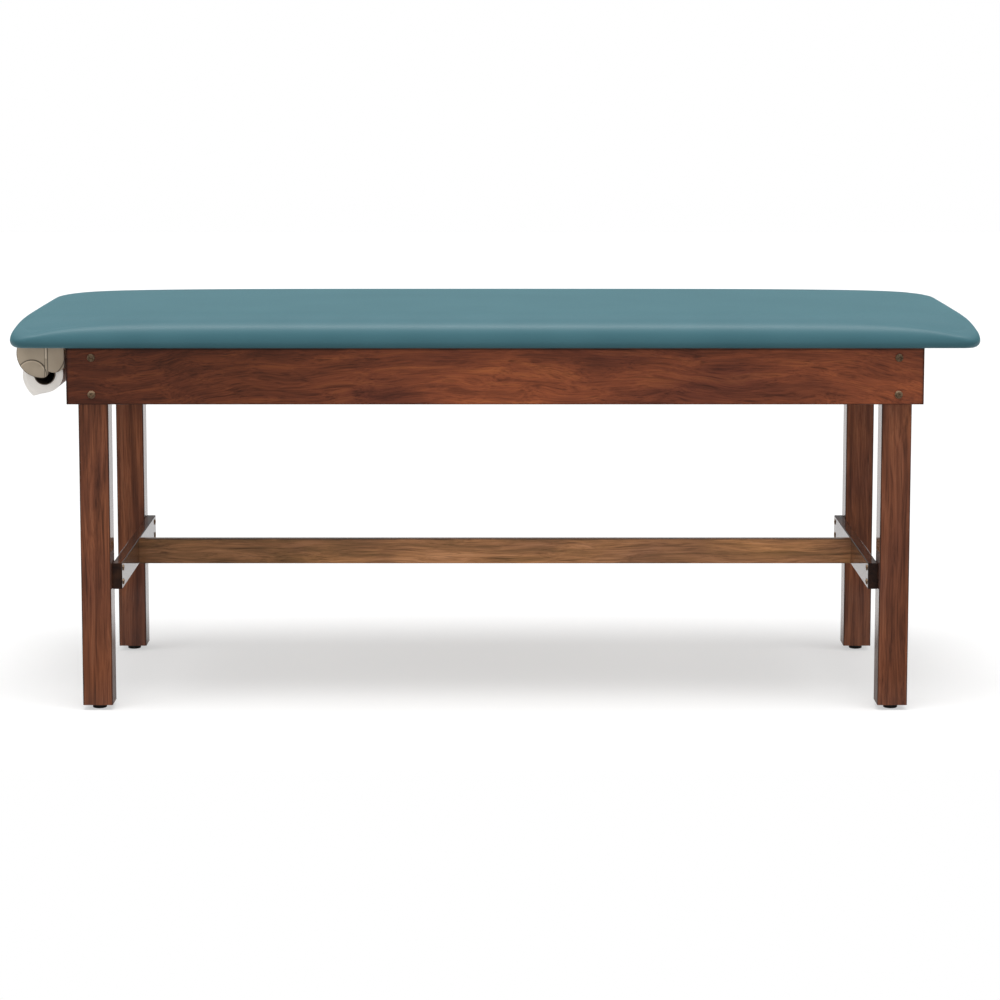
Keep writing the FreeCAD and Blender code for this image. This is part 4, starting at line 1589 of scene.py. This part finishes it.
        # The copy is a new piece, so the marks of the frame's own piece come off it.
        for key in [key for key in cheek.keys() if key.startswith("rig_")]:
            del cheek[key]
        apply_modifier(cheek, "BEVEL", width=self.cheek_edge, segments=2, limit_method="ANGLE",
                       angle_limit=math.radians(40))
        smooth(cheek, 30)
        CHEEK_PLASTIC.put_on(cheek)
        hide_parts("roll_cheek_" + side)
        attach(cheek, "table")
        log.info("cheek %s: %d faces", side, len(cheek.data.polygons))

    def beads(self) -> None:
        """Model the rounded bead down the post's inner edge of each cheek."""
        clear_selection()
        bpy.ops.mesh.primitive_cube_add(size=1.0)
        bead = name_piece("bead")
        bead.data.transform(Matrix.Diagonal((*self.bead_size, 1.0)))
        with editing(bead):
            pick(bead, Element.EDGE, lambda edge: abs(edge.verts[0].co.z - edge.verts[1].co.z) > 0.01)
            bpy.ops.mesh.bevel(offset=self.bead_edge, segments=4, affect="EDGES")
            pick(bead, Element.FACE, lambda face: face.normal.z < -0.9)
            bpy.ops.mesh.inset(thickness=self.bead_toe_inset)
            bpy.ops.transform.translate(value=(0.0, 0.0, -self.bead_toe))
        x, y, z = self.bead_place
        piece = copies(bead, [Matrix.Translation((x, sy * y, z)) for sy in SIDES.values()], "cheek_beads")
        smooth(piece, 40)
        BEAD_PLASTIC.put_on(piece)
        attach(piece, "table")
        log.info("cheek beads: %d", len(SIDES))

    def screws(self) -> None:
        """Drive two pan-head screws up through the flange of each cheek."""
        clear_selection()
        bpy.ops.mesh.primitive_cylinder_add(vertices=24, radius=self.screw_radius, depth=self.screw_height,
                                            location=(0, 0, self.screw_height / 2))
        bpy.ops.object.transform_apply(location=True)
        screw = name_piece("screw")
        with editing(screw):
            pick(screw, Element.EDGE, lambda edge: all(v.co.z > 0.8 * self.screw_height for v in edge.verts))
            bpy.ops.mesh.bevel(offset=self.screw_edge, segments=2, affect="EDGES")
        clear_selection()
        bpy.ops.mesh.primitive_cube_add(size=1.0)
        slot = name_piece("slot_cutter")
        slot.data.transform(Matrix.Translation((0, 0, self.screw_height)) @ Matrix.Diagonal((*self.screw_slot, 1.0)))
        for _ in range(2):
            apply_modifier(screw, "BOOLEAN", operation="DIFFERENCE", object=slot, solver="EXACT")
            slot.data.transform(Matrix.Rotation(QUARTER_TURN, 4, "Z"))
        bpy.data.objects.remove(slot)
        places = [facing(Vector((self.axis_x + dx, sy * self.screw_y, self.flange_level)), Vector((0, 0, -1)))
                  for sy in SIDES.values() for dx in self.screw_x]
        piece = copies(screw, places, "cheek_screws")
        smooth(piece, 30)
        ZINC.put_on(piece)
        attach(piece, "table")
        log.info("cheek screws: %d", len(places))


def main() -> None:
    """Load the frame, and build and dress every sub-assembly."""
    logging.basicConfig(level=logging.INFO, format="%(name)s: %(message)s")
    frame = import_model()
    nodes = frame["nodes"]
    Studio().build()
    timber = TimberFrame(nodes)
    timber.dress()
    top = PaddedTop()
    top.build()
    CoverStaples().build(top.length / 2, top.width / 2)
    for leg, (sx, sy) in LEGS.items():
        LevellingGlide((sx * timber.leg_x, sy * timber.leg_y)).build(leg)
    PaperHolder(nodes).build()


if __name__ == "__main__":
    main()
